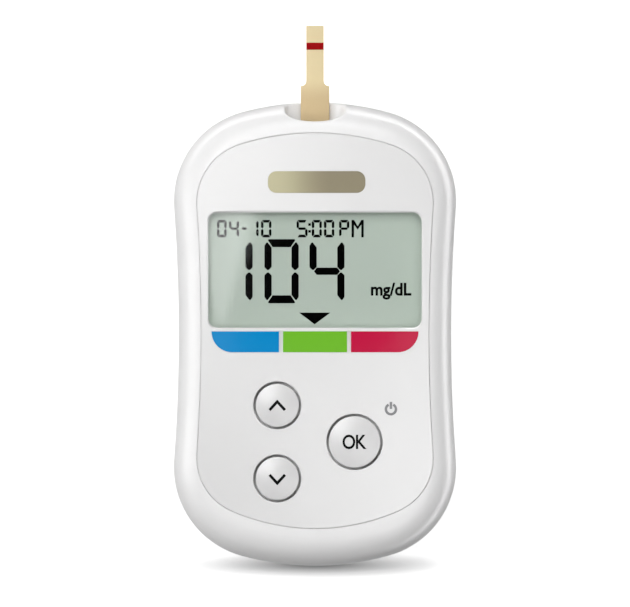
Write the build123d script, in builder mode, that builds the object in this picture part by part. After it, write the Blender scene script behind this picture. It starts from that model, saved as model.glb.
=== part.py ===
from build123d import *
from math import asin, atan2, degrees, sqrt
import os

# Blood glucose meter, lying on its back. Lengths are millimetres. The origin is the middle of
# the flat back face, +Z comes out of the display and +Y runs towards the strip port.

os.makedirs("parts", exist_ok=True)

# ---------------------------------------------------------------- driving dimensions

# Body
body_length = 86.0
body_width = 52.4
body_thickness = 15.8
waist_depth = 0.92  # how far each long side draws in at the middle
shoulder_radius = 17.0
end_radius = 51.5
crown_radius = 3000.0  # the faceplate is part of a very large sphere
rim_drop = 0.3  # how far the front cover's rim lies below the middle of the faceplate
front_edge_radius = 5.5
back_edge_radius = 6.5
inner_edge_radius = 2.5  # inside the front cover, along its ceiling
wall = 1.8
top_wall = 1.3
parting_height = 8.4

# Stepped joint between the two covers
lip_height = 0.8
lip_thickness = 0.8
lip_clearance = 0.1

# Faceplate, set into the front cover
panel_side_margin = 4.3
panel_top_margin = 5.75
panel_bottom_margin = 7.05
panel_waist_depth = 0.8
panel_top_shoulder = 11.3
panel_top_radius = 45.9
panel_bottom_shoulder = 10.7
panel_bottom_radius = 38.1
panel_depth = 1.15
panel_gap = 0.1

# Display window and its lens
window_side_margin = 6.5
window_height = 21.27
window_from_top = 31.17
window_corner = 1.7
window_bevel = 0.25
lens_thickness = 0.8
lens_border = 0.6
lens_clearance = 0.05
opening_border = 0.15

# Display
glass_border = 0.9
glass_ledge = 2.2
glass_thickness = 0.55
film_thickness = 0.2
film_border = 0.3
display_clearance = 0.1
frame_wall = 0.8
frame_clearance = 0.1
frame_ledge = 0.8
frame_ledge_height = 0.8
frame_below_glass = 0.4
contact_strip_width = 1.8

# Range bars and badge, let into the faceplate
inlay_depth = 0.35
inlay_gap = 0.03
bars_inset = 0.6  # from each end of the window
bars_height = 3.84
bars_below_window = 0.69
bar_gap = 0.75
middle_bar_width = 11.8
bar_corner = 3.8
badge_width = 18.0
badge_height = 4.0
badge_corner = 1.6
badge_x = 0.3
badge_from_top = 14.9

# Buttons: the holes, then the moulded caps
small_button_hole = 8.9
large_button_hole = 10.45
arrow_buttons_x = -6.97
ok_button_x = 7.3
share_above_buttons = 0.361  # of the free length between the range bars and the panel's end
share_between_buttons = 0.311
button_gap = 0.5
button_crown = 0.5
button_rim_edge = 0.25
button_skirt = 1.0
button_roof = 1.0
button_flange = 0.9
button_flange_thickness = 0.6
button_flange_clearance = 0.06
button_post = 2.6
button_rib = 0.7
button_rib_rise = 0.6

# Snap domes on the board
dome_diameter = 7.0
dome_height = 0.5
dome_sheet = 0.12
dome_foot = 0.4
dome_clearance = 0.03

# Circuit board
board_height = 8.2
board_thickness = 1.0
board_clearance = 0.8

# Chips and small parts, on the board's back
chip_size = 7.0
chip_thickness = 0.9
chip_from_display_end = 9.8
chip_edge = 0.25
module_width = 9.0
module_length = 12.0
module_thickness = 1.8
module_from_display_end = 9.8
module_above_chip = 4.0
module_corner = 0.6
crystal_width = 3.2
crystal_length = 1.5
crystal_thickness = 0.8
crystal_beside_chip = 7.5
small_part_length = 1.6
small_part_width = 0.8
small_part_height = 0.7
small_part_pitch = 2.4
small_part_rows = 3
small_part_columns = 5

# Strip, its slot, the scoop and the socket behind it
strip_width = 5.3
strip_tip_width = 3.25
strip_reach = 14.17  # how far the strip stands out of the body
strip_tip_length = 11.17
strip_shoulder = 0.95
strip_thickness = 0.45
strip_above_board = 1.25
strip_corner = 0.5
slot_from_end = 3.68
slot_side_clearance = 0.3
slot_clearance = 0.25
scoop_width = 10.9
scoop_end_depth = 1.85  # from its straight sides to the middle of its rounded end
scoop_floor_rise = 3.0  # from the middle of its rounded floor to its upright sides
scoop_below_strip = 0.95
scoop_edge = 0.45
port_block_width = 16.0
port_block_depth = 3.2
socket_gap = 0.15
socket_length = 10.8
socket_width = 9.4
socket_height = 2.7
socket_clearance = 0.12
socket_stop = 0.8
contact_count = 4
contact_pitch = 1.2
contact_width = 0.5
contact_sheet = 0.2
contact_clearance = 0.02
contact_tail = 0.8

# Data port
data_port_width = 7.5
data_port_height = 2.6
data_port_length = 5.6
data_port_sheet = 0.3
data_port_corner = 0.8
data_port_setback = 0.35
data_port_clearance = 0.25
tongue_width = 3.7
tongue_thickness = 0.6

# Battery, its tray and its contacts
cell_diameter = 20.0
cell_thickness = 3.2
cell_cap_diameter = 17.6
cell_cap_height = 0.3
cell_edge = 0.25
cell_from_bottom = 29.8
cell_height = 1.95
tray_clearance = 0.3
tray_wall = 1.2
tray_headroom = 0.4
spring_sheet = 0.2
spring_width = 4.0
spring_foot = 2.5
spring_opening = 0.5  # room on each side of a contact where it passes the tray
ribbon_width = 5.0
ribbon_sheet = 0.12
ribbon_relief = 0.4

# Battery door
door_width = 26.8
door_from_bottom = 41.4
door_thickness = 1.4
door_lip_height = 3.4
door_gap = 0.15
door_slide_gap = 0.2
door_wall = 1.2
door_margin = 2.0
tongue_reach = 0.8
tongue_low = 0.7
tongue_high = 1.3
tongue_clearance = 0.12
rail_setback = 1.4
rail_length = 30.0
grip_groove_count = 4
grip_groove_pitch = 1.6
grip_groove_width = 0.8
grip_groove_depth = 0.35
grip_groove_length = 11.0
grip_from_top = 7.0

# Screws that join the covers and clamp the board
screw_radius = 0.95
screw_head_radius = 1.8
screw_head_height = 1.3
screw_seat_height = 4.6
screw_bite = 3.2
screw_clearance = 0.15
screw_fit = 0.02
screw_tip = 0.4
recess_clearance = 0.35
pillar_wall = 0.75
boss_radius = 2.2
top_screw_x = 16.5
top_screw_from_end = 12.5
bottom_screw_x = 18.5
bottom_screw_from_end = 17.0

# Ribs that stiffen the rear cover's floor and the front cover's bosses
rib_thickness = 0.8
rib_height = 2.0
rib_pitch = 11.0
long_rib_count = 3
cross_rib_count = 2
gusset_reach = 1.3  # how far each stands out from its boss
gusset_above_board = 1.5

# ---------------------------------------------------------------- derived places

top_end = body_length / 2
bottom_end = -body_length / 2
half_width = body_width / 2
panel_half_width = half_width - panel_side_margin
panel_floor = body_thickness - panel_depth
ceiling_height = panel_floor - top_wall
window_width = body_width - 2 * window_side_margin
bars_width = window_width - 2 * bars_inset
window_y = top_end - window_from_top
window_top = window_y + window_height / 2
display_end = window_width / 2 + glass_border
chip_x = chip_from_display_end - display_end
chip_y = window_y
window_bottom = window_y - window_height / 2
lens_floor = panel_floor - lens_thickness
board_top = board_height + board_thickness
strip_height = board_top + strip_above_board
slot_y = top_end - slot_from_end
port_block_y = slot_y - port_block_depth
socket_front = port_block_y - socket_gap
socket_back = socket_front - socket_length
strip_end = socket_back + socket_stop
cell_y = bottom_end + cell_from_bottom
door_top = bottom_end + door_from_bottom
recess_depth = door_thickness + door_slide_gap
tray_radius = cell_diameter / 2 + tray_clearance
tray_ceiling = cell_height + cell_thickness + tray_headroom
spring_root_x = cell_diameter / 4 + spring_sheet
far = 2 * body_length  # longer than anything, for cuts that run right out
spare = 1.0  # how far a cut starts outside the body
touching = 0.001  # a point this near a face lies on it

screw_places = [
    (top_screw_x, top_end - top_screw_from_end),
    (-top_screw_x, top_end - top_screw_from_end),
    (bottom_screw_x, bottom_end + bottom_screw_from_end),
    (-bottom_screw_x, bottom_end + bottom_screw_from_end),
]
# The arrow buttons stand in a column between the range bars and the panel's end.
bars_y = window_bottom - bars_below_window - bars_height / 2
bars_bottom = bars_y - bars_height / 2
free_length = bars_bottom - bottom_end - panel_bottom_margin - 2 * small_button_hole
up_y = bars_bottom - share_above_buttons * free_length - small_button_hole / 2
down_y = up_y - small_button_hole - share_between_buttons * free_length
buttons = {
    "up": (arrow_buttons_x, up_y, small_button_hole),
    "down": (arrow_buttons_x, down_y, small_button_hole),
    "ok": (ok_button_x, (up_y + down_y) / 2, large_button_hole),
}

# An outline is its half width, its waist's depth, and for each end the half length, the
# shoulder radius and the end radius.
body_shape = (
    half_width,
    waist_depth,
    (top_end, shoulder_radius, end_radius),
    (top_end, shoulder_radius, end_radius),
)
panel_shape = (
    panel_half_width,
    panel_waist_depth,
    (top_end - panel_top_margin, panel_top_shoulder, panel_top_radius),
    (top_end - panel_bottom_margin, panel_bottom_shoulder, panel_bottom_radius),
)

# ---------------------------------------------------------------- shared forms


def outline(shape, inset=0.0):
    """Face inside an outline of tangent arcs, moved inwards by inset."""
    side, depth, top, bottom = shape
    half = side - inset
    with BuildSketch() as sketch:
        with BuildLine():
            for way, (length, corner, end) in ((1, top), (-1, bottom)):
                reach = length - inset
                corner_r = corner - inset
                end_r = end - inset
                corner_x = half - corner_r
                corner_y = reach - end_r + sqrt((end_r - corner_r) ** 2 - corner_x**2)
                waist_r = (corner_y**2 + depth**2) / (2 * depth) - corner_r
                waist_turn = degrees(asin(corner_y / (waist_r + corner_r)))
                end_turn = degrees(atan2(corner_y - reach + end_r, corner_x))
                for hand in (1, -1):
                    flat = 0 if hand == 1 else 180
                    turn = way * hand
                    waist_x = hand * (half - depth + waist_r)
                    CenterArc((waist_x, 0), waist_r, 180 - flat, -turn * waist_turn)
                    CenterArc(
                        (hand * corner_x, way * corner_y),
                        corner_r,
                        flat - turn * waist_turn,
                        turn * (waist_turn + end_turn),
                    )
                end_y = way * (reach - end_r)
                CenterArc((0, end_y), end_r, way * end_turn, way * (180 - 2 * end_turn))
        make_face()
    return sketch.sketch


def face_height(x, y):
    """Height of the crowned face above the back, at a place on it."""
    return body_thickness - crown_radius + sqrt(crown_radius**2 - x**2 - y**2)


def upright(x, y, z):
    """Plane through a place that stands along the body, for profiles that are turned round it."""
    return Plane((x, y, z), x_dir=(1, 0, 0), z_dir=(0, -1, 0))


def lies_on(edge, form):
    """Whether the middle of an edge lies on the skin of a form."""
    return form.part.shell().distance_to(edge @ 0.5) < touching


def back_form(inset):
    """The body's back half moved inwards by inset: flat floor, rounded edge, straight sides."""
    with BuildPart() as form:
        with BuildSketch(Plane.XY.offset(inset)):
            add(outline(body_shape, inset))
        extrude(amount=body_thickness - inset)
        fillet(form.faces().sort_by(Axis.Z)[0].edges(), back_edge_radius - inset)
    return form.part


# The sphere's poles lie level with its middle, so that its seam stays off the face.
with BuildPart() as crown:
    with Locations((0, 0, body_thickness - crown_radius)):
        Sphere(crown_radius, rotation=(90, 0, 0))

with BuildPart() as body_form:
    with BuildSketch():
        add(outline(body_shape))
    extrude(amount=body_thickness - rim_drop)
    fillet(body_form.faces().sort_by(Axis.Z)[-1].edges(), front_edge_radius)
    fillet(body_form.faces().sort_by(Axis.Z)[0].edges(), back_edge_radius)

with BuildPart() as data_port_opening:
    with BuildSketch(Plane.XZ.offset(-bottom_end - wall - spare)):
        with Locations((0, board_height - data_port_height / 2)):
            RectangleRounded(
                data_port_width + 2 * data_port_clearance,
                data_port_height + 2 * data_port_clearance,
                data_port_corner,
            )
    extrude(amount=far)

# ---------------------------------------------------------------- front cover

with BuildPart() as front_space:
    with BuildSketch(Plane.XY.offset(parting_height)):
        add(outline(body_shape, wall))
    extrude(amount=ceiling_height - parting_height)
    fillet(
        front_space.faces().sort_by(Axis.Z)[-1].edges(),
        min(inner_edge_radius, 0.8 * (ceiling_height - parting_height)),
    )
    # The rim is stepped to take the rear cover's lip.
    with BuildSketch(Plane.XY.offset(parting_height)):
        add(outline(body_shape, wall - lip_thickness - lip_clearance))
    extrude(amount=lip_height + lip_clearance)
    # Solid block that the strip's slot runs through.
    with BuildSketch(Plane.XY.offset(parting_height)):
        with Locations((0, port_block_y)):
            Rectangle(port_block_width, far, align=(Align.CENTER, Align.MIN))
    extrude(amount=body_thickness, mode=Mode.SUBTRACT)

with BuildPart() as scoop:
    with BuildSketch(Plane.XY):
        with Locations((0, slot_y + scoop_end_depth)):
            Ellipse(scoop_width / 2, scoop_end_depth)
            Rectangle(scoop_width, far, align=(Align.CENTER, Align.MIN))
    extrude(amount=far)
    with BuildSketch(Plane.XZ.offset(-far)):
        with Locations((0, strip_height - scoop_below_strip + scoop_floor_rise)):
            Ellipse(scoop_width / 2, scoop_floor_rise)
            Rectangle(scoop_width, far, align=(Align.CENTER, Align.MIN))
    extrude(amount=2 * far, mode=Mode.INTERSECT)

with BuildPart() as front_cover:
    add(body_form.part)
    split(bisect_by=Plane.XY.offset(parting_height), keep=Keep.TOP)
    add(front_space.part, mode=Mode.SUBTRACT)
    # Seat of the faceplate
    with BuildSketch(Plane.XY.offset(panel_floor)):
        add(outline(panel_shape))
    extrude(amount=far, mode=Mode.SUBTRACT)
    # Seat of the lens, and the opening under it
    with BuildSketch(Plane.XY.offset(lens_floor)):
        with Locations((0, window_y)):
            RectangleRounded(
                window_width + 2 * lens_border,
                window_height + 2 * lens_border,
                window_corner + lens_border,
            )
    extrude(amount=far, mode=Mode.SUBTRACT)
    with BuildSketch(Plane.XY.offset(board_top)):
        with Locations((0, window_y)):
            RectangleRounded(
                window_width + 2 * opening_border,
                window_height + 2 * opening_border,
                window_corner + opening_border,
            )
    extrude(amount=far, mode=Mode.SUBTRACT)
    # Button holes
    with BuildSketch(Plane.XY.offset(board_top)):
        for x, y, hole in buttons.values():
            with Locations((x, y)):
                Circle(hole / 2)
    extrude(amount=far, mode=Mode.SUBTRACT)
    # Screw bosses with gussets, which clamp the board from the front
    with BuildSketch(Plane.XY.offset(board_top)):
        with Locations(*screw_places):
            Circle(boss_radius)
    extrude(amount=ceiling_height + top_wall / 2 - board_top)
    with BuildSketch(Plane.XY.offset(board_top + gusset_above_board)):
        with Locations(*screw_places):
            Rectangle(2 * (boss_radius + gusset_reach), rib_thickness)
            Rectangle(rib_thickness, 2 * (boss_radius + gusset_reach))
    extrude(amount=ceiling_height + top_wall / 2 - board_top - gusset_above_board)
    with BuildSketch(Plane.XY.offset(board_top)):
        with Locations(*screw_places):
            Circle(screw_radius + screw_fit)
    extrude(amount=screw_bite + screw_tip, mode=Mode.SUBTRACT)
    # Scoop for the strip, with a rounded lip, and its slot
    add(scoop.part, mode=Mode.SUBTRACT)
    lip_edges = front_cover.edges().filter_by(
        lambda edge: lies_on(edge, body_form) and lies_on(edge, scoop)
    )
    fillet(lip_edges, scoop_edge)
    with BuildSketch(Plane.XZ.offset(-far)):
        with Locations((0, strip_height + strip_thickness / 2)):
            RectangleRounded(
                strip_width + 2 * slot_side_clearance,
                strip_thickness + 2 * slot_clearance,
                slot_clearance,
            )
    extrude(amount=far - socket_front, mode=Mode.SUBTRACT)
    add(data_port_opening.part, mode=Mode.SUBTRACT)

front_cover.part.label = "front_cover"
export_step(front_cover.part, "parts/front_cover.step")

# ---------------------------------------------------------------- faceplate and inlays


def bars_outline(border=0.0):
    """Face of the whole range strip: a long bar whose lower corners are well rounded."""
    with BuildSketch() as sketch:
        Rectangle(bars_width + 2 * border, bars_height + 2 * border)
        fillet(sketch.vertices().group_by(Axis.Y)[0], bar_corner + border)
    return sketch.sketch


bars_floor = face_height(0, bars_y) - inlay_depth
badge_y = top_end - badge_from_top
badge_floor = face_height(badge_x, badge_y) - inlay_depth

with BuildPart() as faceplate:
    with BuildSketch(Plane.XY.offset(panel_floor)):
        add(outline(panel_shape, panel_gap))
        with Locations((0, window_y)):
            RectangleRounded(window_width, window_height, window_corner, mode=Mode.SUBTRACT)
        for x, y, hole in buttons.values():
            with Locations((x, y)):
                Circle(hole / 2, mode=Mode.SUBTRACT)
    extrude(amount=body_thickness)
    add(crown.part, mode=Mode.INTERSECT)
    face_edges = faceplate.faces().sort_by(Axis.Z)[-1].edges()
    window_edges = face_edges.filter_by_position(
        Axis.Y, window_bottom - opening_border, window_top + opening_border
    )
    window_reach = window_width / 2 + opening_border
    window_edges = window_edges.filter_by_position(Axis.X, -window_reach, window_reach)
    chamfer(window_edges, window_bevel)
    with BuildSketch(Plane.XY.offset(bars_floor)):
        with Locations((0, bars_y)):
            add(bars_outline(inlay_gap))
    extrude(amount=body_thickness, mode=Mode.SUBTRACT)
    with BuildSketch(Plane.XY.offset(badge_floor)):
        with Locations((badge_x, badge_y)):
            RectangleRounded(
                badge_width + 2 * inlay_gap, badge_height + 2 * inlay_gap, badge_corner + inlay_gap
            )
    extrude(amount=body_thickness, mode=Mode.SUBTRACT)

faceplate.part.label = "faceplate"
export_step(faceplate.part, "parts/faceplate.step")

outer_bar_width = (bars_width - middle_bar_width) / 2 - bar_gap
outer_bar_x = (bars_width - outer_bar_width) / 2
bars = {
    "low_range_bar": (-outer_bar_x, outer_bar_width),
    "in_range_bar": (0, middle_bar_width),
    "high_range_bar": (outer_bar_x, outer_bar_width),
}
for name, (bar_x, bar_width) in bars.items():
    with BuildPart() as bar:
        with BuildSketch(Plane.XY.offset(bars_floor)):
            with Locations((0, bars_y)):
                add(bars_outline())
            with Locations((bar_x, bars_y)):
                Rectangle(bar_width, bars_height, mode=Mode.INTERSECT)
        extrude(amount=body_thickness)
        add(crown.part, mode=Mode.INTERSECT)
    bar.part.label = name
    export_step(bar.part, f"parts/{name}.step")

with BuildPart() as badge:
    with BuildSketch(Plane.XY.offset(badge_floor)):
        with Locations((badge_x, badge_y)):
            RectangleRounded(badge_width, badge_height, badge_corner)
    extrude(amount=body_thickness)
    add(crown.part, mode=Mode.INTERSECT)

badge.part.label = "badge"
export_step(badge.part, "parts/badge.step")

with BuildPart() as display_window:
    with BuildSketch(Plane.XY.offset(lens_floor)):
        with Locations((0, window_y)):
            RectangleRounded(
                window_width + 2 * (lens_border - lens_clearance),
                window_height + 2 * (lens_border - lens_clearance),
                window_corner + lens_border - lens_clearance,
            )
    extrude(amount=lens_thickness)

display_window.part.label = "display_window"
export_step(display_window.part, "parts/display_window.step")

# ---------------------------------------------------------------- buttons and snap domes

flange_top = ceiling_height - button_flange_clearance
flange_bottom = flange_top - button_flange_thickness
post_bottom = board_top + dome_height + dome_clearance
dome_radius = dome_diameter / 2

for name, (x, y, hole) in buttons.items():
    cap_radius = hole / 2 - button_gap
    rim_height = face_height(x, y)
    roof_height = rim_height - button_roof
    with BuildPart() as button:
        with BuildSketch(upright(x, y, 0)) as profile:
            with BuildLine():
                Polyline(
                    (0, rim_height + button_crown),
                    (0, post_bottom),
                    (button_post / 2, post_bottom),
                    (button_post / 2, roof_height),
                    (cap_radius - button_skirt, roof_height),
                    (cap_radius - button_skirt, flange_bottom),
                    (hole / 2 + button_flange, flange_bottom),
                    (hole / 2 + button_flange, flange_top),
                    (cap_radius, flange_top),
                    (cap_radius, rim_height),
                )
                TangentArc((0, rim_height + button_crown), (cap_radius, rim_height), tangent=(1, 0))
            make_face()
            fillet(profile.vertices().sort_by_distance((x + cap_radius, y, rim_height))[0], button_rim_edge)
        revolve(axis=Axis((x, y, 0), (0, 0, 1)))
        # Stiffening ribs under the cap
        with BuildSketch(Plane((x, y, flange_bottom + button_rib_rise))):
            Rectangle(2 * cap_radius - button_skirt, button_rib)
            Rectangle(button_rib, 2 * cap_radius - button_skirt)
        extrude(amount=roof_height - flange_bottom - button_rib_rise)
    button.part.label = f"{name}_button"
    export_step(button.part, f"parts/{name}_button.step")

    with BuildPart() as dome:
        with BuildSketch(upright(x, y, board_top)):
            with BuildLine():
                TangentArc((0, dome_height), (dome_radius, dome_sheet), tangent=(1, 0))
                Polyline((dome_radius, dome_sheet), (dome_radius, 0), (dome_radius - dome_foot, 0))
                TangentArc((0, dome_height - dome_sheet), (dome_radius - dome_foot, 0), tangent=(1, 0))
                Line((0, dome_height - dome_sheet), (0, dome_height))
            make_face()
        revolve(axis=Axis((x, y, 0), (0, 0, 1)))
    dome.part.label = f"{name}_dome"
    export_step(dome.part, f"parts/{name}_dome.step")

# ---------------------------------------------------------------- display

film_top = ceiling_height - display_clearance
front_glass_top = film_top - film_thickness
rear_glass_top = front_glass_top - glass_thickness
rear_glass_bottom = rear_glass_top - glass_thickness
reflector_bottom = rear_glass_bottom - film_thickness
glass_width = window_width + 2 * glass_border
glass_top_y = window_top + glass_border
rear_glass_y = window_bottom - glass_border
front_glass_y = rear_glass_y - glass_ledge
film_width = glass_width - 2 * film_border

with BuildPart() as lcd_front_polarizer:
    with BuildSketch(Plane.XY.offset(front_glass_top)):
        with Locations((0, window_y)):
            Rectangle(film_width, window_height + 2 * (glass_border - film_border))
    extrude(amount=film_thickness)

lcd_front_polarizer.part.label = "lcd_front_polarizer"
export_step(lcd_front_polarizer.part, "parts/lcd_front_polarizer.step")

with BuildPart() as lcd_front_glass:
    with BuildSketch(Plane.XY.offset(rear_glass_top)):
        with Locations((0, (glass_top_y + front_glass_y) / 2)):
            Rectangle(glass_width, glass_top_y - front_glass_y)
    extrude(amount=glass_thickness)

lcd_front_glass.part.label = "lcd_front_glass"
export_step(lcd_front_glass.part, "parts/lcd_front_glass.step")

with BuildPart() as lcd_rear_glass:
    with BuildSketch(Plane.XY.offset(rear_glass_bottom)):
        with Locations((0, window_y)):
            Rectangle(glass_width, glass_top_y - rear_glass_y)
    extrude(amount=glass_thickness)

lcd_rear_glass.part.label = "lcd_rear_glass"
export_step(lcd_rear_glass.part, "parts/lcd_rear_glass.step")

with BuildPart() as lcd_reflector:
    with BuildSketch(Plane.XY.offset(reflector_bottom)):
        with Locations((0, window_y)):
            Rectangle(film_width, window_height + 2 * (glass_border - film_border))
    extrude(amount=film_thickness)

lcd_reflector.part.label = "lcd_reflector"
export_step(lcd_reflector.part, "parts/lcd_reflector.step")

frame_y = (glass_top_y + front_glass_y) / 2
frame_length = glass_top_y - front_glass_y + 2 * frame_clearance
frame_width = glass_width + 2 * frame_clearance

with BuildPart() as lcd_frame:
    with BuildSketch(Plane.XY.offset(board_top)):
        with Locations((0, frame_y)):
            Rectangle(frame_width + 2 * frame_wall, frame_length + 2 * frame_wall)
    extrude(amount=front_glass_top - frame_below_glass - board_top)
    # Pocket for the glass, and the opening behind it
    with BuildSketch(Plane.XY.offset(reflector_bottom)):
        with Locations((0, frame_y)):
            Rectangle(frame_width, frame_length)
    extrude(amount=far, mode=Mode.SUBTRACT)
    with BuildSketch(Plane.XY.offset(board_top)):
        with Locations((0, window_y)):
            Rectangle(glass_width - 2 * frame_ledge, window_height + 2 * (glass_border - frame_ledge))
    extrude(amount=far, mode=Mode.SUBTRACT)
    # The space under the ledge stays open, for the parts on the board.
    with BuildSketch(Plane.XY.offset(board_top)):
        with Locations((0, frame_y)):
            Rectangle(frame_width, frame_length)
    extrude(amount=reflector_bottom - frame_ledge_height - board_top, mode=Mode.SUBTRACT)
    # Channel that holds the rubber contact strip upright
    channel_y = (rear_glass_y + front_glass_y) / 2
    with BuildSketch(Plane.XY.offset(board_top)):
        with Locations((0, channel_y)):
            Rectangle(frame_width, contact_strip_width)
    extrude(amount=far, mode=Mode.SUBTRACT)

lcd_frame.part.label = "lcd_frame"
export_step(lcd_frame.part, "parts/lcd_frame.step")

with BuildPart() as lcd_contact_strip:
    with BuildSketch(Plane.XY.offset(board_top)):
        with Locations((0, channel_y)):
            Rectangle(glass_width - 2 * frame_ledge, contact_strip_width - 2 * frame_clearance)
    extrude(amount=rear_glass_top - board_top)

lcd_contact_strip.part.label = "lcd_contact_strip"
export_step(lcd_contact_strip.part, "parts/lcd_contact_strip.step")

# ---------------------------------------------------------------- circuit board and its parts

with BuildPart() as circuit_board:
    with BuildSketch(Plane.XY.offset(board_height)):
        add(outline(body_shape, wall + board_clearance))
        with Locations((0, port_block_y - board_clearance / 2)):
            Rectangle(
                port_block_width + board_clearance, far, align=(Align.CENTER, Align.MIN), mode=Mode.SUBTRACT
            )
        with Locations(*screw_places):
            Circle(screw_radius + screw_clearance, mode=Mode.SUBTRACT)
    extrude(amount=board_thickness)

circuit_board.part.label = "circuit_board"
export_step(circuit_board.part, "parts/circuit_board.step")

with BuildPart() as processor_chip:
    with BuildSketch(Plane.XY.offset(board_height)):
        with Locations((chip_x, chip_y)):
            Rectangle(chip_size, chip_size)
    extrude(amount=-chip_thickness)
    chamfer(processor_chip.edges().group_by(Axis.Z)[0], chip_edge)

processor_chip.part.label = "processor_chip"
export_step(processor_chip.part, "parts/processor_chip.step")

with BuildPart() as wireless_module:
    with BuildSketch(Plane.XY.offset(board_height)):
        with Locations((display_end - module_from_display_end, chip_y + module_above_chip)):
            RectangleRounded(module_width, module_length, module_corner)
    extrude(amount=-module_thickness)
    fillet(wireless_module.edges().group_by(Axis.Z)[0], chip_edge)

wireless_module.part.label = "wireless_module"
export_step(wireless_module.part, "parts/wireless_module.step")

with BuildPart() as clock_crystal:
    with BuildSketch(Plane.XY.offset(board_height)):
        with Locations((chip_x + crystal_beside_chip, chip_y)):
            Rectangle(crystal_length, crystal_width)
    extrude(amount=-crystal_thickness)

clock_crystal.part.label = "clock_crystal"
export_step(clock_crystal.part, "parts/clock_crystal.step")

small_parts_y = chip_y + chip_size / 2 + small_part_pitch * (small_part_rows + 1) / 2

with BuildPart() as board_passives:
    with BuildSketch(Plane.XY.offset(board_height)):
        with Locations((chip_x, small_parts_y)):
            with GridLocations(small_part_pitch, small_part_pitch, small_part_columns, small_part_rows):
                Rectangle(small_part_width, small_part_length)
    extrude(amount=-small_part_height)

board_passives.part.label = "board_passives"
export_step(board_passives.part, "parts/board_passives.step")

# ---------------------------------------------------------------- test strip and its socket

strip_tip = top_end + strip_reach
strip_shoulder_y = strip_tip - strip_tip_length
strip_step = (strip_width - strip_tip_width) / 2

with BuildPart() as test_strip:
    with BuildSketch(Plane.XY.offset(strip_height)) as strip_face:
        with Locations((0, (strip_shoulder_y + strip_end) / 2)):
            Rectangle(strip_width, strip_shoulder_y - strip_end)
        with Locations((0, (strip_tip + strip_end) / 2)):
            Rectangle(strip_tip_width, strip_tip - strip_end)
        chamfer(strip_face.vertices().group_by(Axis.Y)[0], strip_corner)
        for hand in (1, -1):
            inner_corner = (hand * strip_tip_width / 2, strip_shoulder_y, strip_height)
            inner_vertex = strip_face.vertices().sort_by_distance(inner_corner)[0]
            fillet(inner_vertex, min(strip_shoulder, 0.95 * strip_step))
    extrude(amount=strip_thickness)

test_strip.part.label = "test_strip"
export_step(test_strip.part, "parts/test_strip.step")

channel_floor = board_top + contact_sheet
channel_width = contact_pitch * contact_count

with BuildPart() as strip_connector:
    with BuildSketch(Plane.XY.offset(board_top)):
        with Locations((0, (socket_front + socket_back) / 2)):
            Rectangle(socket_width, socket_length)
    extrude(amount=socket_height)
    # Slot for the strip, stopped at the back
    with BuildSketch(Plane.XZ.offset(-socket_front)):
        with Locations((0, strip_height + strip_thickness / 2)):
            Rectangle(strip_width + 2 * socket_clearance, strip_thickness + 2 * socket_clearance)
    extrude(amount=socket_front - strip_end + socket_clearance, mode=Mode.SUBTRACT)
    # Channel under it for the spring contacts, open at the back
    with BuildSketch(Plane.XZ.offset(-(socket_front - socket_stop))):
        with Locations((0, channel_floor)):
            Rectangle(channel_width, strip_height - channel_floor, align=(Align.CENTER, Align.MIN))
    extrude(amount=far, mode=Mode.SUBTRACT)
    chamfer(strip_connector.edges().group_by(Axis.Z)[-1], chip_edge)

strip_connector.part.label = "strip_connector"
export_step(strip_connector.part, "parts/strip_connector.step")

contact_low = channel_floor + contact_sheet / 2
contact_high = strip_height - contact_clearance - contact_sheet / 2
contact_bend_y = socket_back + socket_length / 3
contact_touch_y = socket_back + socket_length * 2 / 3

with BuildPart() as strip_contacts:
    for place in range(contact_count):
        contact_x = (place - (contact_count - 1) / 2) * contact_pitch
        with BuildSketch(Plane.YZ.offset(contact_x - contact_width / 2)):
            with BuildLine():
                Polyline(
                    (socket_back - contact_tail, board_top + contact_sheet / 2),
                    (socket_back - 3 * contact_sheet, board_top + contact_sheet / 2),
                    (socket_back - 1.5 * contact_sheet, contact_low),
                    (contact_bend_y, contact_low),
                    (contact_touch_y, contact_high),
                    (contact_touch_y + 2 * contact_sheet, contact_high),
                    (contact_touch_y + contact_bend_y - socket_back - socket_stop, contact_low),
                )
            trace(line_width=contact_sheet)
        extrude(amount=contact_width)

strip_contacts.part.label = "strip_contacts"
export_step(strip_contacts.part, "parts/strip_contacts.step")

# ---------------------------------------------------------------- data port

data_port_mouth = bottom_end + data_port_setback
data_port_middle = board_height - data_port_height / 2
data_port_plane = Plane((0, data_port_mouth, data_port_middle), x_dir=(-1, 0, 0), z_dir=(0, 1, 0))


def data_port_face(border):
    """Section of the port: wide at the board, with its two far corners cut off."""
    with BuildSketch() as sketch:
        Rectangle(data_port_width - 2 * border, data_port_height - 2 * border)
        chamfer(sketch.vertices().group_by(Axis.Y)[0], data_port_corner)
    return sketch.sketch


with BuildPart() as data_port:
    with BuildSketch(data_port_plane):
        add(data_port_face(0))
    extrude(amount=data_port_length)
    with BuildSketch(data_port_plane):
        add(data_port_face(data_port_sheet))
    extrude(amount=data_port_length - data_port_sheet, mode=Mode.SUBTRACT)

data_port.part.label = "data_port"
export_step(data_port.part, "parts/data_port.step")

with BuildPart() as data_port_tongue:
    with BuildSketch(Plane.XZ.offset(-data_port_mouth - 2 * data_port_sheet)):
        with Locations((0, data_port_middle)):
            Rectangle(tongue_width, tongue_thickness)
    extrude(amount=-(data_port_length - 3 * data_port_sheet))

data_port_tongue.part.label = "data_port_tongue"
export_step(data_port_tongue.part, "parts/data_port_tongue.step")

# ---------------------------------------------------------------- rear cover

zone_width = door_width + 2 * door_margin
zone_top = door_top + door_margin
zone_height = door_lip_height + door_wall

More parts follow.
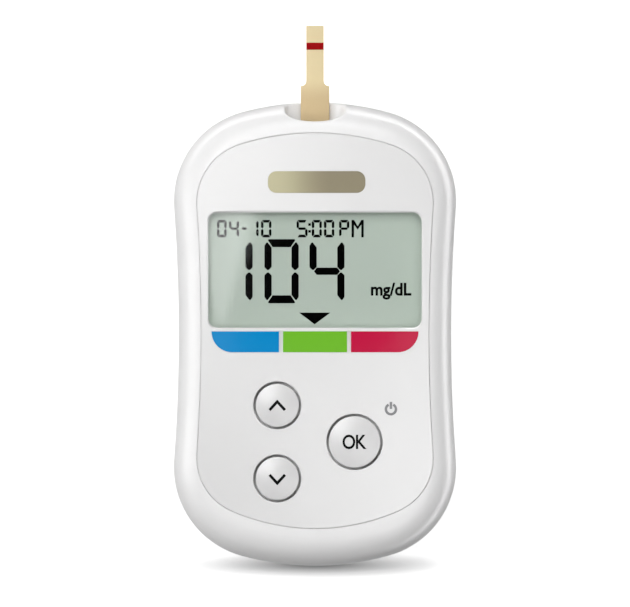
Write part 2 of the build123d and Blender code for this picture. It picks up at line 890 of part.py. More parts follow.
with BuildPart() as door_zone:
    with BuildSketch(Plane.XY.offset(-spare)):
        with Locations((0, zone_top)):
            Rectangle(zone_width, far, align=(Align.CENTER, Align.MAX))
    extrude(amount=zone_height + spare)

with BuildPart() as raised_space:
    add(back_form(recess_depth + door_wall))
    add(door_zone.part, mode=Mode.INTERSECT)

with BuildPart() as rear_space:
    add(back_form(wall))
    add(door_zone.part, mode=Mode.SUBTRACT)
    add(raised_space.part)

with BuildPart() as door_space:
    with BuildSketch(Plane.XY.offset(-spare)):
        with Locations((0, door_top + door_gap)):
            Rectangle(door_width + 2 * door_gap, far, align=(Align.CENTER, Align.MAX))
    extrude(amount=door_lip_height + door_gap + spare)
    add(back_form(recess_depth), mode=Mode.SUBTRACT)

with BuildPart() as floor_ribs:
    with BuildSketch():
        with GridLocations(rib_pitch, 0, long_rib_count, 1):
            Rectangle(rib_thickness, far)
        with Locations((0, (zone_top + slot_y) / 2)):
            with GridLocations(0, rib_pitch, 1, cross_rib_count):
                Rectangle(far, rib_thickness)
    extrude(amount=wall + rib_height)
    add(back_form(wall / 2), mode=Mode.INTERSECT)
    split(bisect_by=Plane.XZ.offset(-zone_top), keep=Keep.BOTTOM)

tongue_span = door_width + 2 * tongue_reach

with BuildPart() as rear_cover:
    add(body_form.part)
    split(bisect_by=Plane.XY.offset(parting_height), keep=Keep.BOTTOM)
    add(rear_space.part, mode=Mode.SUBTRACT)
    # Lip that steps into the front cover, with a gap for the strip port's block
    with BuildSketch(Plane.XY.offset(parting_height)):
        add(outline(body_shape, wall - lip_thickness))
        add(outline(body_shape, wall), mode=Mode.SUBTRACT)
        with Locations((0, port_block_y)):
            Rectangle(
                port_block_width + 2 * lip_clearance,
                far,
                align=(Align.CENTER, Align.MIN),
                mode=Mode.SUBTRACT,
            )
    extrude(amount=lip_height)
    add(floor_ribs.part)
    # Round battery tray
    with BuildSketch(Plane.XY.offset(recess_depth)):
        with Locations((0, cell_y)):
            Circle(tray_radius + tray_wall)
    extrude(amount=tray_ceiling + tray_wall - recess_depth)
    # Screw pillars, up to the board
    with BuildSketch(Plane.XY.offset(wall / 2)):
        with Locations(*screw_places):
            Circle(screw_head_radius + recess_clearance + pillar_wall)
    extrude(amount=board_height - wall / 2)
    # Recess for the door, the rails at its sides and the groove at its top
    add(door_space.part, mode=Mode.SUBTRACT)
    with BuildSketch(Plane.XY.offset(tongue_low - tongue_clearance)):
        with Locations((0, door_top + tongue_reach + door_gap)):
            Rectangle(tongue_span + 2 * door_gap, far, align=(Align.CENTER, Align.MAX))
    extrude(amount=tongue_high - tongue_low + 2 * tongue_clearance, mode=Mode.SUBTRACT)
    # Pocket for the cell
    with BuildSketch(Plane.XY):
        with Locations((0, cell_y)):
            Circle(tray_radius)
    extrude(amount=tray_ceiling, mode=Mode.SUBTRACT)
    # Screw holes with deep recesses
    with BuildSketch(Plane.XY):
        with Locations(*screw_places):
            Circle(screw_head_radius + recess_clearance)
    extrude(amount=screw_seat_height, mode=Mode.SUBTRACT)
    with BuildSketch(Plane.XY):
        with Locations(*screw_places):
            Circle(screw_radius + screw_clearance)
    extrude(amount=far, mode=Mode.SUBTRACT)
    add(data_port_opening.part, mode=Mode.SUBTRACT)
    # Relief in the tray's wall for the pull ribbon
    with BuildSketch(Plane.XY.offset(recess_depth)):
        with Locations((-tray_radius, cell_y)):
            Rectangle(2 * ribbon_relief, ribbon_width + 2 * ribbon_relief)
    extrude(amount=tray_ceiling - recess_depth, mode=Mode.SUBTRACT)
    # Openings in the tray for the two battery contacts
    with BuildSketch(Plane.XY.offset(cell_height)):
        with Locations((0, cell_y - tray_radius)):
            Rectangle(spring_width + 2 * spring_opening, 2 * tray_wall)
        with Locations((spring_root_x, cell_y)):
            Rectangle(spring_sheet + 2 * spring_opening, spring_width + 2 * spring_opening)
    extrude(amount=far, mode=Mode.SUBTRACT)

rear_cover.part.label = "rear_cover"
export_step(rear_cover.part, "parts/rear_cover.step")

# ---------------------------------------------------------------- battery door

with BuildPart() as battery_door:
    add(body_form.part)
    add(back_form(door_thickness), mode=Mode.SUBTRACT)
    with BuildSketch(Plane.XY.offset(-spare)):
        with Locations((0, door_top)):
            Rectangle(door_width, far, align=(Align.CENTER, Align.MAX))
    extrude(amount=door_lip_height + spare, mode=Mode.INTERSECT)
    # Tongues that run in the rails, and the one under the rear cover's edge
    with BuildSketch(Plane.XY.offset(tongue_low)):
        with Locations((0, door_top - rail_setback)):
            Rectangle(tongue_span, rail_length, align=(Align.CENTER, Align.MAX))
        with Locations((0, door_top + tongue_reach)):
            Rectangle(grip_groove_length, 2 * tongue_reach, align=(Align.CENTER, Align.MAX))
    extrude(amount=tongue_high - tongue_low)
    # Thumb grip
    with BuildSketch(Plane.XY):
        with Locations((0, door_top - grip_from_top)):
            with GridLocations(0, grip_groove_pitch, 1, grip_groove_count):
                SlotOverall(grip_groove_length, grip_groove_width)
    extrude(amount=grip_groove_depth, mode=Mode.SUBTRACT)

battery_door.part.label = "battery_door"
export_step(battery_door.part, "parts/battery_door.step")

# ---------------------------------------------------------------- battery and its contacts

with BuildPart() as coin_cell:
    with BuildSketch(Plane.XY.offset(cell_height)):
        with Locations((0, cell_y)):
            Circle(cell_diameter / 2)
    extrude(amount=cell_thickness - cell_cap_height)
    chamfer(coin_cell.edges(), cell_edge)
    with BuildSketch(Plane.XY.offset(cell_height + cell_thickness - cell_cap_height)):
        with Locations((0, cell_y)):
            Circle(cell_cap_diameter / 2)
    extrude(amount=cell_cap_height)

coin_cell.part.label = "coin_cell"
export_step(coin_cell.part, "parts/coin_cell.step")

cell_top = cell_height + cell_thickness
cell_edge_y = cell_y - cell_diameter / 2

with BuildPart() as battery_positive_contact:
    with BuildSketch(Plane.YZ.offset(-spring_width / 2)):
        with BuildLine():
            Polyline(
                (cell_edge_y - tray_wall - spring_foot, board_height - spring_sheet / 2),
                (cell_edge_y - tray_wall / 2, board_height - spring_sheet / 2),
                (cell_edge_y - tray_wall / 2, cell_top),
                (cell_edge_y - spring_sheet / 2, cell_height + cell_thickness / 2),
                (cell_edge_y - 2 * spring_sheet, cell_height + spring_sheet),
            )
        trace(line_width=spring_sheet)
    extrude(amount=spring_width)

battery_positive_contact.part.label = "battery_positive_contact"
export_step(battery_positive_contact.part, "parts/battery_positive_contact.step")

with BuildPart() as battery_negative_contact:
    with BuildSketch(Plane.XZ.offset(-cell_y - spring_width / 2)):
        with BuildLine():
            Polyline(
                (spring_root_x + spring_foot, board_height - spring_sheet / 2),
                (spring_root_x, board_height - spring_sheet / 2),
                (spring_root_x, tray_ceiling - spring_sheet / 2),
                (spring_sheet, cell_top + spring_sheet / 2),
                (-spring_foot, cell_top + spring_sheet / 2),
            )
        trace(line_width=spring_sheet)
    extrude(amount=spring_width)

battery_negative_contact.part.label = "battery_negative_contact"
export_step(battery_negative_contact.part, "parts/battery_negative_contact.step")

ribbon_x = cell_diameter / 2 + tray_clearance / 2
ribbon_end_x = cell_diameter / 4

with BuildPart() as battery_ribbon:
    with BuildSketch(Plane.XZ.offset(-cell_y - ribbon_width / 2)):
        with BuildLine():
            Polyline(
                (-ribbon_end_x, cell_top + ribbon_sheet / 2),
                (-ribbon_x, cell_top + ribbon_sheet / 2),
                (-ribbon_x, cell_height - ribbon_sheet / 2),
                (ribbon_end_x, cell_height - ribbon_sheet / 2),
            )
        trace(line_width=ribbon_sheet)
    extrude(amount=ribbon_width)

battery_ribbon.part.label = "battery_ribbon"
export_step(battery_ribbon.part, "parts/battery_ribbon.step")

# ---------------------------------------------------------------- screws

with BuildPart() as housing_screws:
    with BuildSketch(Plane.XY.offset(screw_seat_height)):
        with Locations(*screw_places):
            Circle(screw_radius)
    extrude(amount=board_top + screw_bite - screw_seat_height)
    chamfer(housing_screws.edges().group_by(Axis.Z)[-1], screw_tip)
    with BuildSketch(Plane.XY.offset(screw_seat_height)):
        with Locations(*screw_places):
            Circle(screw_head_radius)
    extrude(amount=-screw_head_height)
    chamfer(housing_screws.edges().group_by(Axis.Z)[0], screw_tip)

housing_screws.part.label = "housing_screws"
export_step(housing_screws.part, "parts/housing_screws.step")
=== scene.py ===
from math import cos, pi, radians, sin, sqrt

import bmesh
import bpy
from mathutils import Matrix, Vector


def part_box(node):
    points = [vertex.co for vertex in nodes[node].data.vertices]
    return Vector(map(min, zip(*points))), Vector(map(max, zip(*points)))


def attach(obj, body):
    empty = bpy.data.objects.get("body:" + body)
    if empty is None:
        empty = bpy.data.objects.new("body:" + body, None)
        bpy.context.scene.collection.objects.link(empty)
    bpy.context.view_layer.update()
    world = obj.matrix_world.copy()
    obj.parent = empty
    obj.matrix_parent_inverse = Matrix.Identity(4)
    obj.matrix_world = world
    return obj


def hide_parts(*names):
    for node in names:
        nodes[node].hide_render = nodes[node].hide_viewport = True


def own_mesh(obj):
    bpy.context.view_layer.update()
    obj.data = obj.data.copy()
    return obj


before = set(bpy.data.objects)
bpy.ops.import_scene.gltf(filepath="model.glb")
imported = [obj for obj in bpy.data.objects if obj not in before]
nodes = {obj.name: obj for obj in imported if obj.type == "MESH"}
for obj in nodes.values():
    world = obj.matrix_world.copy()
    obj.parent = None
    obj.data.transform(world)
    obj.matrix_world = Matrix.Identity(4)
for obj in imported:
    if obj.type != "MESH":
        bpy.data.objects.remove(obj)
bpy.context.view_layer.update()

# Blood glucose meter: materials, printed marks, display content, light and camera.
# Metres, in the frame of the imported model: the meter lies on its back, its display up (+Z),
# its strip port at +Y. Sizes that are easier to read in millimetres are written as n * MM.

MM = 0.001

# ------------------------------------------------------------------ node helpers

WHITE_LIGHT = (1, 1, 1, 1)

# A Mix node has one set of sockets for each kind of value, so these go by number.
MIX_SHARE = 0
MIX_FIRST_NUMBER = 2
MIX_SECOND_NUMBER = 3
MIX_NUMBER = 0
MIX_FIRST_COLOUR = 6
MIX_SECOND_COLOUR = 7
MIX_COLOUR = 2


def material(name):
    """A new empty node material and its tree."""
    made = bpy.data.materials.new(name)
    made.use_nodes = True
    tree = made.node_tree
    tree.nodes.clear()
    return made, tree


def add_node(tree, kind, inputs=None, **settings):
    """Adds a shader node, sets its properties and its input sockets, and returns it."""
    node = tree.nodes.new(kind)
    for key, value in settings.items():
        setattr(node, key, value)
    for key, value in (inputs or {}).items():
        if isinstance(value, bpy.types.NodeSocket):
            tree.links.new(value, node.inputs[key])
        else:
            node.inputs[key].default_value = value
    return node


def finish_material(tree, shader):
    """Joins a shader to the material's output."""
    add_node(tree, "ShaderNodeOutputMaterial", {"Surface": shader})


def place(tree):
    """The point on the piece, in metres."""
    return add_node(tree, "ShaderNodeTexCoord").outputs["Object"]


def coordinates(tree):
    """X, Y and Z of the point on the piece."""
    return add_node(tree, "ShaderNodeSeparateXYZ", {0: place(tree)}).outputs


def noise(tree, size, detail=2.0, stretch=None):
    """Noise whose features are about size metres across, from 0 to 1."""
    where = place(tree)
    if stretch:
        where = add_node(tree, "ShaderNodeMapping", {"Vector": where, "Scale": stretch}).outputs[0]
    made = add_node(tree, "ShaderNodeTexNoise", {"Vector": where, "Scale": 1 / size, "Detail": detail})
    return made.outputs["Fac"]


def ramp(tree, value, start, end, low=0.0, high=1.0, kind="LINEAR"):
    """Maps a value from the range start to end onto low to high, and holds it beyond the ends."""
    limits = {"Value": value, "From Min": start, "From Max": end, "To Min": low, "To Max": high}
    return add_node(tree, "ShaderNodeMapRange", limits, interpolation_type=kind).outputs["Result"]


def spread(tree, value, low, high):
    """Maps a 0 to 1 value to the range low to high."""
    return ramp(tree, value, 0.0, 1.0, low, high)


def maths(tree, operation, first, second, clamp=False):
    """The result of an operation on two numbers."""
    inputs = {0: first, 1: second}
    return add_node(tree, "ShaderNodeMath", inputs, operation=operation, use_clamp=clamp).outputs[0]


def length(tree, vector):
    """The length of a vector."""
    return add_node(tree, "ShaderNodeVectorMath", {0: vector}, operation="LENGTH").outputs["Value"]


def mixed(tree, share, first, second):
    """A colour between first and second by share."""
    inputs = {MIX_SHARE: share, MIX_FIRST_COLOUR: (*first, 1), MIX_SECOND_COLOUR: (*second, 1)}
    return add_node(tree, "ShaderNodeMix", inputs, data_type="RGBA").outputs[MIX_COLOUR]


def shaded(colour, factor):
    """The colour made lighter or darker."""
    return tuple(min(1.0, part * factor) for part in colour)


def mottled(tree, value, colour, darkest, lightest):
    """The colour, between darkest and lightest times itself by value."""
    return mixed(tree, value, shaded(colour, darkest), shaded(colour, lightest))


def bump(tree, height, depth, under=None):
    """A bump of a given depth in metres."""
    inputs = {"Height": height, "Strength": 1.0, "Distance": depth}
    if under:
        inputs["Normal"] = under
    return add_node(tree, "ShaderNodeBump", inputs).outputs["Normal"]


def surface(tree, colour, roughness, normal, **plain):
    """A Principled shader. Plain values, such as Metallic, go to its own sockets."""
    inputs = {"Base Color": colour, "Roughness": roughness, "Normal": normal}
    inputs.update({key.replace("_", " "): value for key, value in plain.items()})
    return add_node(tree, "ShaderNodeBsdfPrincipled", inputs).outputs["BSDF"]


def emission(tree, strength):
    """A white glow."""
    return add_node(tree, "ShaderNodeEmission", {"Color": WHITE_LIGHT, "Strength": strength}).outputs[0]


def blend(tree, share, first, second):
    """A shader between first and second by share."""
    return add_node(tree, "ShaderNodeMixShader", {0: share, 1: first, 2: second}).outputs[0]


# ------------------------------------------------------------------ materials

COAT_ROUGHNESS = 0.08
# painted shade across the badge: where it starts to darken and where it is darkest
GOLD_PAINTED_SHADE_START = -8 * MM
GOLD_PAINTED_SHADE_END = 3 * MM
FILM_BODY_END = 43.3 * MM
FILM_TIP_START = 47.6 * MM
# painted shade across the strip: how far to each side it reaches, and the factors on its left and its right
FILM_PAINTED_SHADE_REACH = 3 * MM
FILM_LEFT_PAINTED_LIGHT = 1.04
FILM_RIGHT_PAINTED_SHADE = 0.95
WINDOW_IOR = 1.49
WINDOW_TINT = (0.985, 0.99, 0.985, 1)
TRACK_PITCH = 0.8 * MM
TRACK_HALF = 0.13 * MM
TRACK_EDGE = 0.03 * MM
TRACK_PATCH = 8 * TRACK_PITCH
TURNED_ABOVE = 0.45  # of a patch's random number: its tracks run the other way
POURED_ABOVE = 0.88  # of the same number: the whole patch is copper
MASK_ON_COPPER = (0.045, 0.21, 0.075)
MASK_ON_BOARD = (0.012, 0.105, 0.04)


def moulded_plastic(
    name, colour, gloss, grain=0.35 * MM, depth=0.002 * MM, variation=0.015, shine=0.5, coat=0.0
):
    """Moulded plastic: faint mottling, uneven gloss and the fine waviness of the mould.

    gloss is its roughness, and coat is the weight of a clear coat on it."""
    made, tree = material(name)
    tint = mottled(tree, noise(tree, 9 * MM, detail=3), colour, 1 - variation, 1 + variation)
    uneven = spread(tree, noise(tree, 2.5 * MM, detail=4), gloss * 0.97, gloss * 1.03)
    waves = bump(tree, noise(tree, 3.5 * MM, detail=1), depth)
    fine = bump(tree, noise(tree, grain), depth * 0.5, waves)
    coated = {"Coat_Weight": coat, "Coat_Roughness": COAT_ROUGHNESS} if coat else {}
    finish_material(tree, surface(tree, tint, uneven, fine, Specular_IOR_Level=shine, **coated))
    return made


def metal(name, colour, roughness, brushed=None, depth=0.003 * MM):
    """Metal with a rolled or brushed grain, squeezed along each axis by the factors in brushed."""
    made, tree = material(name)
    grain = noise(tree, 0.12 * MM, detail=3, stretch=brushed)
    tint = mottled(tree, noise(tree, 4 * MM, detail=3), colour, 0.93, 1.05)
    uneven = spread(tree, grain, roughness * 0.75, roughness * 1.35)
    finish_material(tree, surface(tree, tint, uneven, bump(tree, grain, depth), Metallic=1.0))
    return made


def gold_painted_shade(name, left, right):
    """Satin gold lacquer with painted shade, lighter on the left and darker towards the right, and a
    brushed grain.
    """
    made, tree = material(name)
    # painted shade: the gold is lighter on the left and darker towards the right
    share = ramp(tree, coordinates(tree)["X"], GOLD_PAINTED_SHADE_START, GOLD_PAINTED_SHADE_END, kind="SMOOTHSTEP")
    grain = noise(tree, 0.1 * MM, detail=3, stretch=(1, 16, 1))
    tint = mixed(tree, share, left, right)
    uneven = spread(tree, grain, 0.34, 0.42)
    finish_material(tree, surface(tree, tint, uneven, bump(tree, grain, 0.002 * MM), Metallic=0.15))
    return made


def layered_film_painted_shade(name, tip, body):
    """Plastic film of a test strip: pale at the tip, deeper where the layers lie over each other, and with
    painted shade across it, lighter on the left and darker on the right.
    """
    made, tree = material(name)
    sides = coordinates(tree)
    share = ramp(tree, sides["Y"], FILM_BODY_END, FILM_TIP_START, kind="SMOOTHSTEP")
    lengthwise = mixed(tree, share, body, tip)
    # painted shade: the film is made lighter towards its left edge and darker towards its right
    side = ramp(tree, sides["X"], -FILM_PAINTED_SHADE_REACH, FILM_PAINTED_SHADE_REACH, FILM_LEFT_PAINTED_LIGHT, FILM_RIGHT_PAINTED_SHADE)
    inputs = {0: lengthwise, "Scale": side}
    tint = add_node(tree, "ShaderNodeVectorMath", inputs, operation="SCALE").outputs[0]
    uneven = spread(tree, noise(tree, 2.5 * MM, detail=3), 0.36, 0.42)
    fibres = bump(tree, noise(tree, 0.15 * MM), 0.002 * MM)
    finish_material(tree, surface(tree, tint, uneven, fibres, Specular_IOR_Level=0.2))
    return made


def ink(name, colour, roughness=0.45, shine=0.15):
    """A printed or liquid crystal mark: nearly flat and dull, with a slightly uneven density."""
    made, tree = material(name)
    tint = mottled(tree, noise(tree, 0.6 * MM, detail=3), colour, 0.85, 1.15)
    uneven = spread(tree, noise(tree, 0.2 * MM), roughness * 0.9, roughness * 1.1)
    normal = bump(tree, noise(tree, 0.15 * MM), 0.001 * MM)
    finish_material(tree, surface(tree, tint, uneven, normal, Specular_IOR_Level=shine))
    return made


def clear_lens(name):
    """Clear window: it lets light straight through, and its outer face reflects."""
    made, tree = material(name)
    through = add_node(tree, "ShaderNodeBsdfTransparent", {"Color": WINDOW_TINT}).outputs[0]
    scuffs = spread(tree, noise(tree, 1.5 * MM, detail=4), 0.015, 0.04)
    inputs = {"Color": WHITE_LIGHT, "Roughness": scuffs}
    mirror = add_node(tree, "ShaderNodeBsdfAnisotropic", inputs).outputs[0]
    fresnel = add_node(tree, "ShaderNodeFresnel", {"IOR": WINDOW_IOR}).outputs[0]
    inner_face = add_node(tree, "ShaderNodeNewGeometry").outputs["Backfacing"]
    outer_only = maths(tree, "SUBTRACT", fresnel, inner_face, clamp=True)
    finish_material(tree, blend(tree, outer_only, through, mirror))
    return made


def circuit_laminate(name):
    """Green solder mask over glass weave. The copper tracks under it turn from patch to patch."""
    made, tree = material(name)
    cell = {0: place(tree), 1: (TRACK_PATCH, TRACK_PATCH, 1)}
    patch = add_node(tree, "ShaderNodeVectorMath", cell, operation="SNAP").outputs[0]
    chance = add_node(tree, "ShaderNodeTexWhiteNoise", {"Vector": patch}).outputs["Value"]
    turned = maths(tree, "GREATER_THAN", chance, TURNED_ABOVE)
    poured = maths(tree, "GREATER_THAN", chance, POURED_ABOVE)
    sides = coordinates(tree)
    across_tracks = maths(tree, "PINGPONG", sides["X"], TRACK_PITCH / 2)
    along_tracks = maths(tree, "PINGPONG", sides["Y"], TRACK_PITCH / 2)
    either = {MIX_SHARE: turned, MIX_FIRST_NUMBER: across_tracks, MIX_SECOND_NUMBER: along_tracks}
    off = add_node(tree, "ShaderNodeMix", either, data_type="FLOAT").outputs[MIX_NUMBER]
    bare = ramp(tree, off, TRACK_HALF, TRACK_HALF + TRACK_EDGE)
    share = maths(tree, "SUBTRACT", bare, poured, clamp=True)
    tint = mixed(tree, share, MASK_ON_COPPER, MASK_ON_BOARD)
    weave = noise(tree, 0.3 * MM, detail=1, stretch=(1, 4, 1))
    raised = maths(tree, "SUBTRACT", 1.0, share)
    normal = bump(tree, weave, 0.004 * MM, bump(tree, raised, 0.01 * MM))
    finish_material(tree, surface(tree, tint, spread(tree, weave, 0.22, 0.34), normal))
    return made


def woven(name, colour):
    """Woven tape."""
    made, tree = material(name)
    inputs = {"Vector": place(tree), "Scale": 1 / (1.2 * MM), "Distortion": 0.6, "Detail": 2}
    bands = {"wave_type": "BANDS", "bands_direction": "DIAGONAL"}
    threads = add_node(tree, "ShaderNodeTexWave", inputs, **bands).outputs["Fac"]
    tint = mottled(tree, threads, colour, 0.6, 1.5)
    finish_material(tree, surface(tree, tint, 0.85, bump(tree, threads, 0.02 * MM)))
    return made


def display_film(name, colour):
    """The display's back: a reflector behind a polariser, finely speckled and a little cloudy."""
    made, tree = material(name)
    speckle = noise(tree, 0.18 * MM)
    speckled = mottled(tree, speckle, colour, 0.975, 1.02)
    clouded = mottled(tree, noise(tree, 14 * MM), colour, 0.97, 1.03)
    halves = {MIX_SHARE: 0.5, MIX_FIRST_COLOUR: speckled, MIX_SECOND_COLOUR: clouded}
    tint = add_node(tree, "ShaderNodeMix", halves, data_type="RGBA").outputs[MIX_COLOUR]
    finish_material(tree, surface(tree, tint, 0.42, bump(tree, speckle, 0.002 * MM)))
    return made


WHITE = (0.834, 0.83, 0.83)
# painted shade: the shell's white made darker for the faceplate, to offset the light its clear coat mirrors
# from the sheen card
PLATE_WHITE_PAINTED_SHADE = shaded(WHITE, 0.91)
# painted shade: the shell's white made darker for the keys, so that their domes, lit strongly by the key
# lamp, don't render too light
KEY_WHITE_PAINTED_SHADE = (0.714, 0.71, 0.711)
FRAME_WHITE = (0.7, 0.7, 0.71)
BLUE = (0.0, 0.25, 0.59)
GREEN = (0.165, 0.5, 0.028)
RED = (0.55, 0.008, 0.055)
SOCKET_BLACK = (0.02, 0.02, 0.022)
CHIP_BLACK = (0.012, 0.012, 0.014)
RUBBER_GREY = (0.05, 0.05, 0.06)
CERAMIC_BROWN = (0.32, 0.22, 0.13)
STRIP_PALE = (0.77, 0.64, 0.38)
STRIP_DEEP = (0.6, 0.46, 0.26)
# the badge's gold: painted lit on its left, painted shaded on its right
GOLD_PAINTED_LIT = (0.47, 0.437, 0.272)
GOLD_PAINTED_SHADED = (0.228, 0.195, 0.118)
STEEL_GREY = (0.62, 0.62, 0.63)
SPRING_GOLD = (0.83, 0.62, 0.26)
TIN_GREY = (0.55, 0.56, 0.57)
DISPLAY_GREEN = (0.46, 0.53, 0.47)
RIBBON_BLACK = (0.02, 0.02, 0.024)
SEGMENT_BLACK = (0.001, 0.001, 0.001)
PRINT_BLACK = (0.003, 0.003, 0.003)
PRINT_GREY = (0.25, 0.25, 0.26)
PRINT_RED = (0.33, 0.004, 0.006)

shell_white = moulded_plastic("glossy_white_shell", WHITE, gloss=0.32)
plate_white = moulded_plastic("glossy_white_faceplate", PLATE_WHITE_PAINTED_SHADE, gloss=0.26, coat=1.0)
key_white = moulded_plastic("white_key", KEY_WHITE_PAINTED_SHADE, gloss=0.26)
back_white = moulded_plastic("fine_textured_white", WHITE, gloss=0.42, grain=0.22 * MM, depth=0.012 * MM)
frame_white = moulded_plastic("matt_white_frame", FRAME_WHITE, gloss=0.5)
blue = moulded_plastic("blue_bar", BLUE, gloss=0.05, shine=0.2)
green = moulded_plastic("green_bar", GREEN, gloss=0.05, shine=0.2)
red = moulded_plastic("red_bar", RED, gloss=0.05, shine=0.2)
black_plastic = moulded_plastic("black_socket", SOCKET_BLACK, gloss=0.35)
chip_black = moulded_plastic("chip_black", CHIP_BLACK, gloss=0.5, grain=0.08 * MM, depth=0.006 * MM)
rubber = moulded_plastic("layered_rubber", RUBBER_GREY, gloss=0.7, grain=0.1 * MM, depth=0.01 * MM)
ceramic = moulded_plastic(
    "small_part_ceramic", CERAMIC_BROWN, gloss=0.35, grain=0.1 * MM, depth=0.004 * MM, variation=0.2
)
strip_film = layered_film_painted_shade("test_strip_film", STRIP_PALE, STRIP_DEEP)
gold = gold_painted_shade("satin_gold", GOLD_PAINTED_LIT, GOLD_PAINTED_SHADED)
steel = metal("rolled_steel", STEEL_GREY, roughness=0.24, brushed=(1, 10, 1))
spring_gold = metal("gold_plated_spring", SPRING_GOLD, roughness=0.2)
tin = metal("tinned_can", TIN_GREY, roughness=0.3, brushed=(8, 1, 1))
lens = clear_lens("clear_window")
film = display_film("display_film", DISPLAY_GREEN)
laminate = circuit_laminate("circuit_laminate")
ribbon_cloth = woven("woven_ribbon", RIBBON_BLACK)
display_black = ink("display_segment", SEGMENT_BLACK, shine=0.0)
print_black = ink("black_print", PRINT_BLACK, shine=0.08)
print_grey = ink("grey_print", PRINT_GREY)
print_red = ink("red_band", PRINT_RED, shine=0.02)

finishes = {
    "front_cover": shell_white,
    "faceplate": plate_white,
    "rear_cover": back_white,
    "battery_door": back_white,
    "low_range_bar": blue,
    "in_range_bar": green,
    "high_range_bar": red,
    "badge": gold,
    "display_window": lens,
    "up_button": key_white,
    "down_button": key_white,
    "ok_button": key_white,
    "up_dome": steel,
    "down_dome": steel,
    "ok_dome": steel,
    "lcd_front_polarizer": film,
    "lcd_front_glass": film,
    "lcd_rear_glass": film,
    "lcd_reflector": tin,
    "lcd_frame": frame_white,
    "lcd_contact_strip": rubber,
    "circuit_board": laminate,
    "processor_chip": chip_black,
    "wireless_module": tin,
    "clock_crystal": tin,
    "board_passives": ceramic,
    "test_strip": strip_film,
    "strip_connector": black_plastic,
    "strip_contacts": spring_gold,
    "data_port": tin,
    "data_port_tongue": black_plastic,
    "coin_cell": steel,
    "battery_positive_contact": spring_gold,
    "battery_negative_contact": spring_gold,
    "battery_ribbon": ribbon_cloth,
    "housing_screws": steel,
}
for name, finish in finishes.items():
    nodes[name].data.materials.clear()
    nodes[name].data.materials.append(finish)

# ------------------------------------------------------------------ pieces and flat marks

SHARPEST_MITRE = 0.4  # cosine that limits how far a corner of a line reaches
MERGE_DISTANCE = 0.001 * MM
MOST_SPLITS = 6
FONT_CAPITAL = 0.729  # height of a capital in the built-in font, as a share of its size


def new_object(name, data):
    """An object of the data, in the scene."""
    made = bpy.data.objects.new(name, data)
    bpy.context.scene.collection.objects.link(made)
    return made


def finished_piece(name, data, finish, body):
    """An object of the mesh, with its material, that rides on a body."""
    data.materials.append(finish)
    made = new_object(name, data)
    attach(made, body)
    return made


def mesh_piece(name, vertices, faces, finish, body, sharp=35):
    """A mesh object that rides on a body, smooth but for edges sharper than so many degrees."""
    data = bpy.data.meshes.new(name)
    data.from_pydata(vertices, [], faces)
    data.validate()
    data.update()
    data.shade_smooth()
    data.set_sharp_from_angle(angle=radians(sharp))
    return finished_piece(name, data, finish, body)


def outline(points):
    """A shape with one face. A shape is a list of points and the faces between them."""
    return points, [tuple(range(len(points)))]


def rectangle(left, bottom, right, top):
    """A rectangle as a shape."""
    return outline([(left, bottom), (right, bottom), (right, top), (left, top)])


def moved(shape, x, y):
    """A shape at another place."""
    return [(p[0] + x, p[1] + y) for p in shape[0]], shape[1]


def stroke(points, width):
    """A line of even width through the points, with mitred corners, as a shape."""
    points = [Vector(point) for point in points]
    corners = []
    for i, point in enumerate(points):
        ways = []
        if i > 0:
            ways.append((point - points[i - 1]).normalized())
        if i < len(points) - 1:
            ways.append((points[i + 1] - point).normalized())
        along = sum(ways, Vector((0, 0))).normalized()
        mitre = width / 2 / max(SHARPEST_MITRE, along.dot(ways[0]))
        aside = Vector((-along.y, along.x)) * mitre
        corners += [point + aside, point - aside]
    return corners, [(k, k + 1, k + 3, k + 2) for k in range(0, len(corners) - 2, 2)]


def arc(x, y, radius, start, end, steps):
    """Points on an arc round x, y, angles in degrees."""
    turns = [radians(start + (end - start) * i / steps) for i in range(steps + 1)]
    return [(x + radius * cos(t), y + radius * sin(t)) for t in turns]


def words(text, capital, width, bold=0.0, spacing=1.0):
    """A plain text as a shape round the origin, from the height of a capital and the text's width."""
    curve = bpy.data.curves.new("words", "FONT")
    curve.body = text
    curve.resolution_u = 4
    curve.offset = bold
    curve.space_character = spacing
    made = new_object("words", curve)
    bpy.context.view_layer.update()
    flat = bpy.data.meshes.new_from_object(made.evaluated_get(bpy.context.evaluated_depsgraph_get()))
    bpy.data.objects.remove(made)
    points = [v.co.xy for v in flat.vertices]
    faces = [tuple(p.vertices) for p in flat.polygons]
    bpy.data.meshes.remove(flat)
    left, right = min(p.x for p in points), max(p.x for p in points)
    low, high = min(p.y for p in points), max(p.y for p in points)
    across_scale = width / (right - left)
    up_scale = capital / (FONT_CAPITAL + 2 * bold)
    middle = Vector(((left + right) / 2, (low + high) / 2))
    return [((p.x - middle.x) * across_scale, (p.y - middle.y) * up_scale) for p in points], faces


def flat_at(level):
    """The height function of a flat face."""
    return lambda x, y: level


def crowned(x, y, top, radius):
    """The height function of a face that is part of a sphere, with its top at x, y."""
    return lambda px, py: top - radius + sqrt(radius**2 - (px - x) ** 2 - (py - y) ** 2)


def crown_radius(half_width, rise):
    """Radius of the sphere whose cap has this half width and rise."""
    return (half_width**2 + rise**2) / (2 * rise)


def middle_of(node):
    """X and Y of the middle of a node."""
    low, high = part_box(node)
    return (low.x + high.x) / 2, (low.y + high.y) / 2


def split_long_edges(work, longest):
    """Cuts a flat mesh into triangles with no edge longer than so much."""
    bmesh.ops.triangulate(work, faces=work.faces)
    for _ in range(MOST_SPLITS):
        long_edges = [e for e in work.edges if e.calc_length() > longest]
        if not long_edges:
            break
        bmesh.ops.subdivide_edges(work, edges=long_edges, cuts=1)
        bmesh.ops.triangulate(work, faces=work.faces)


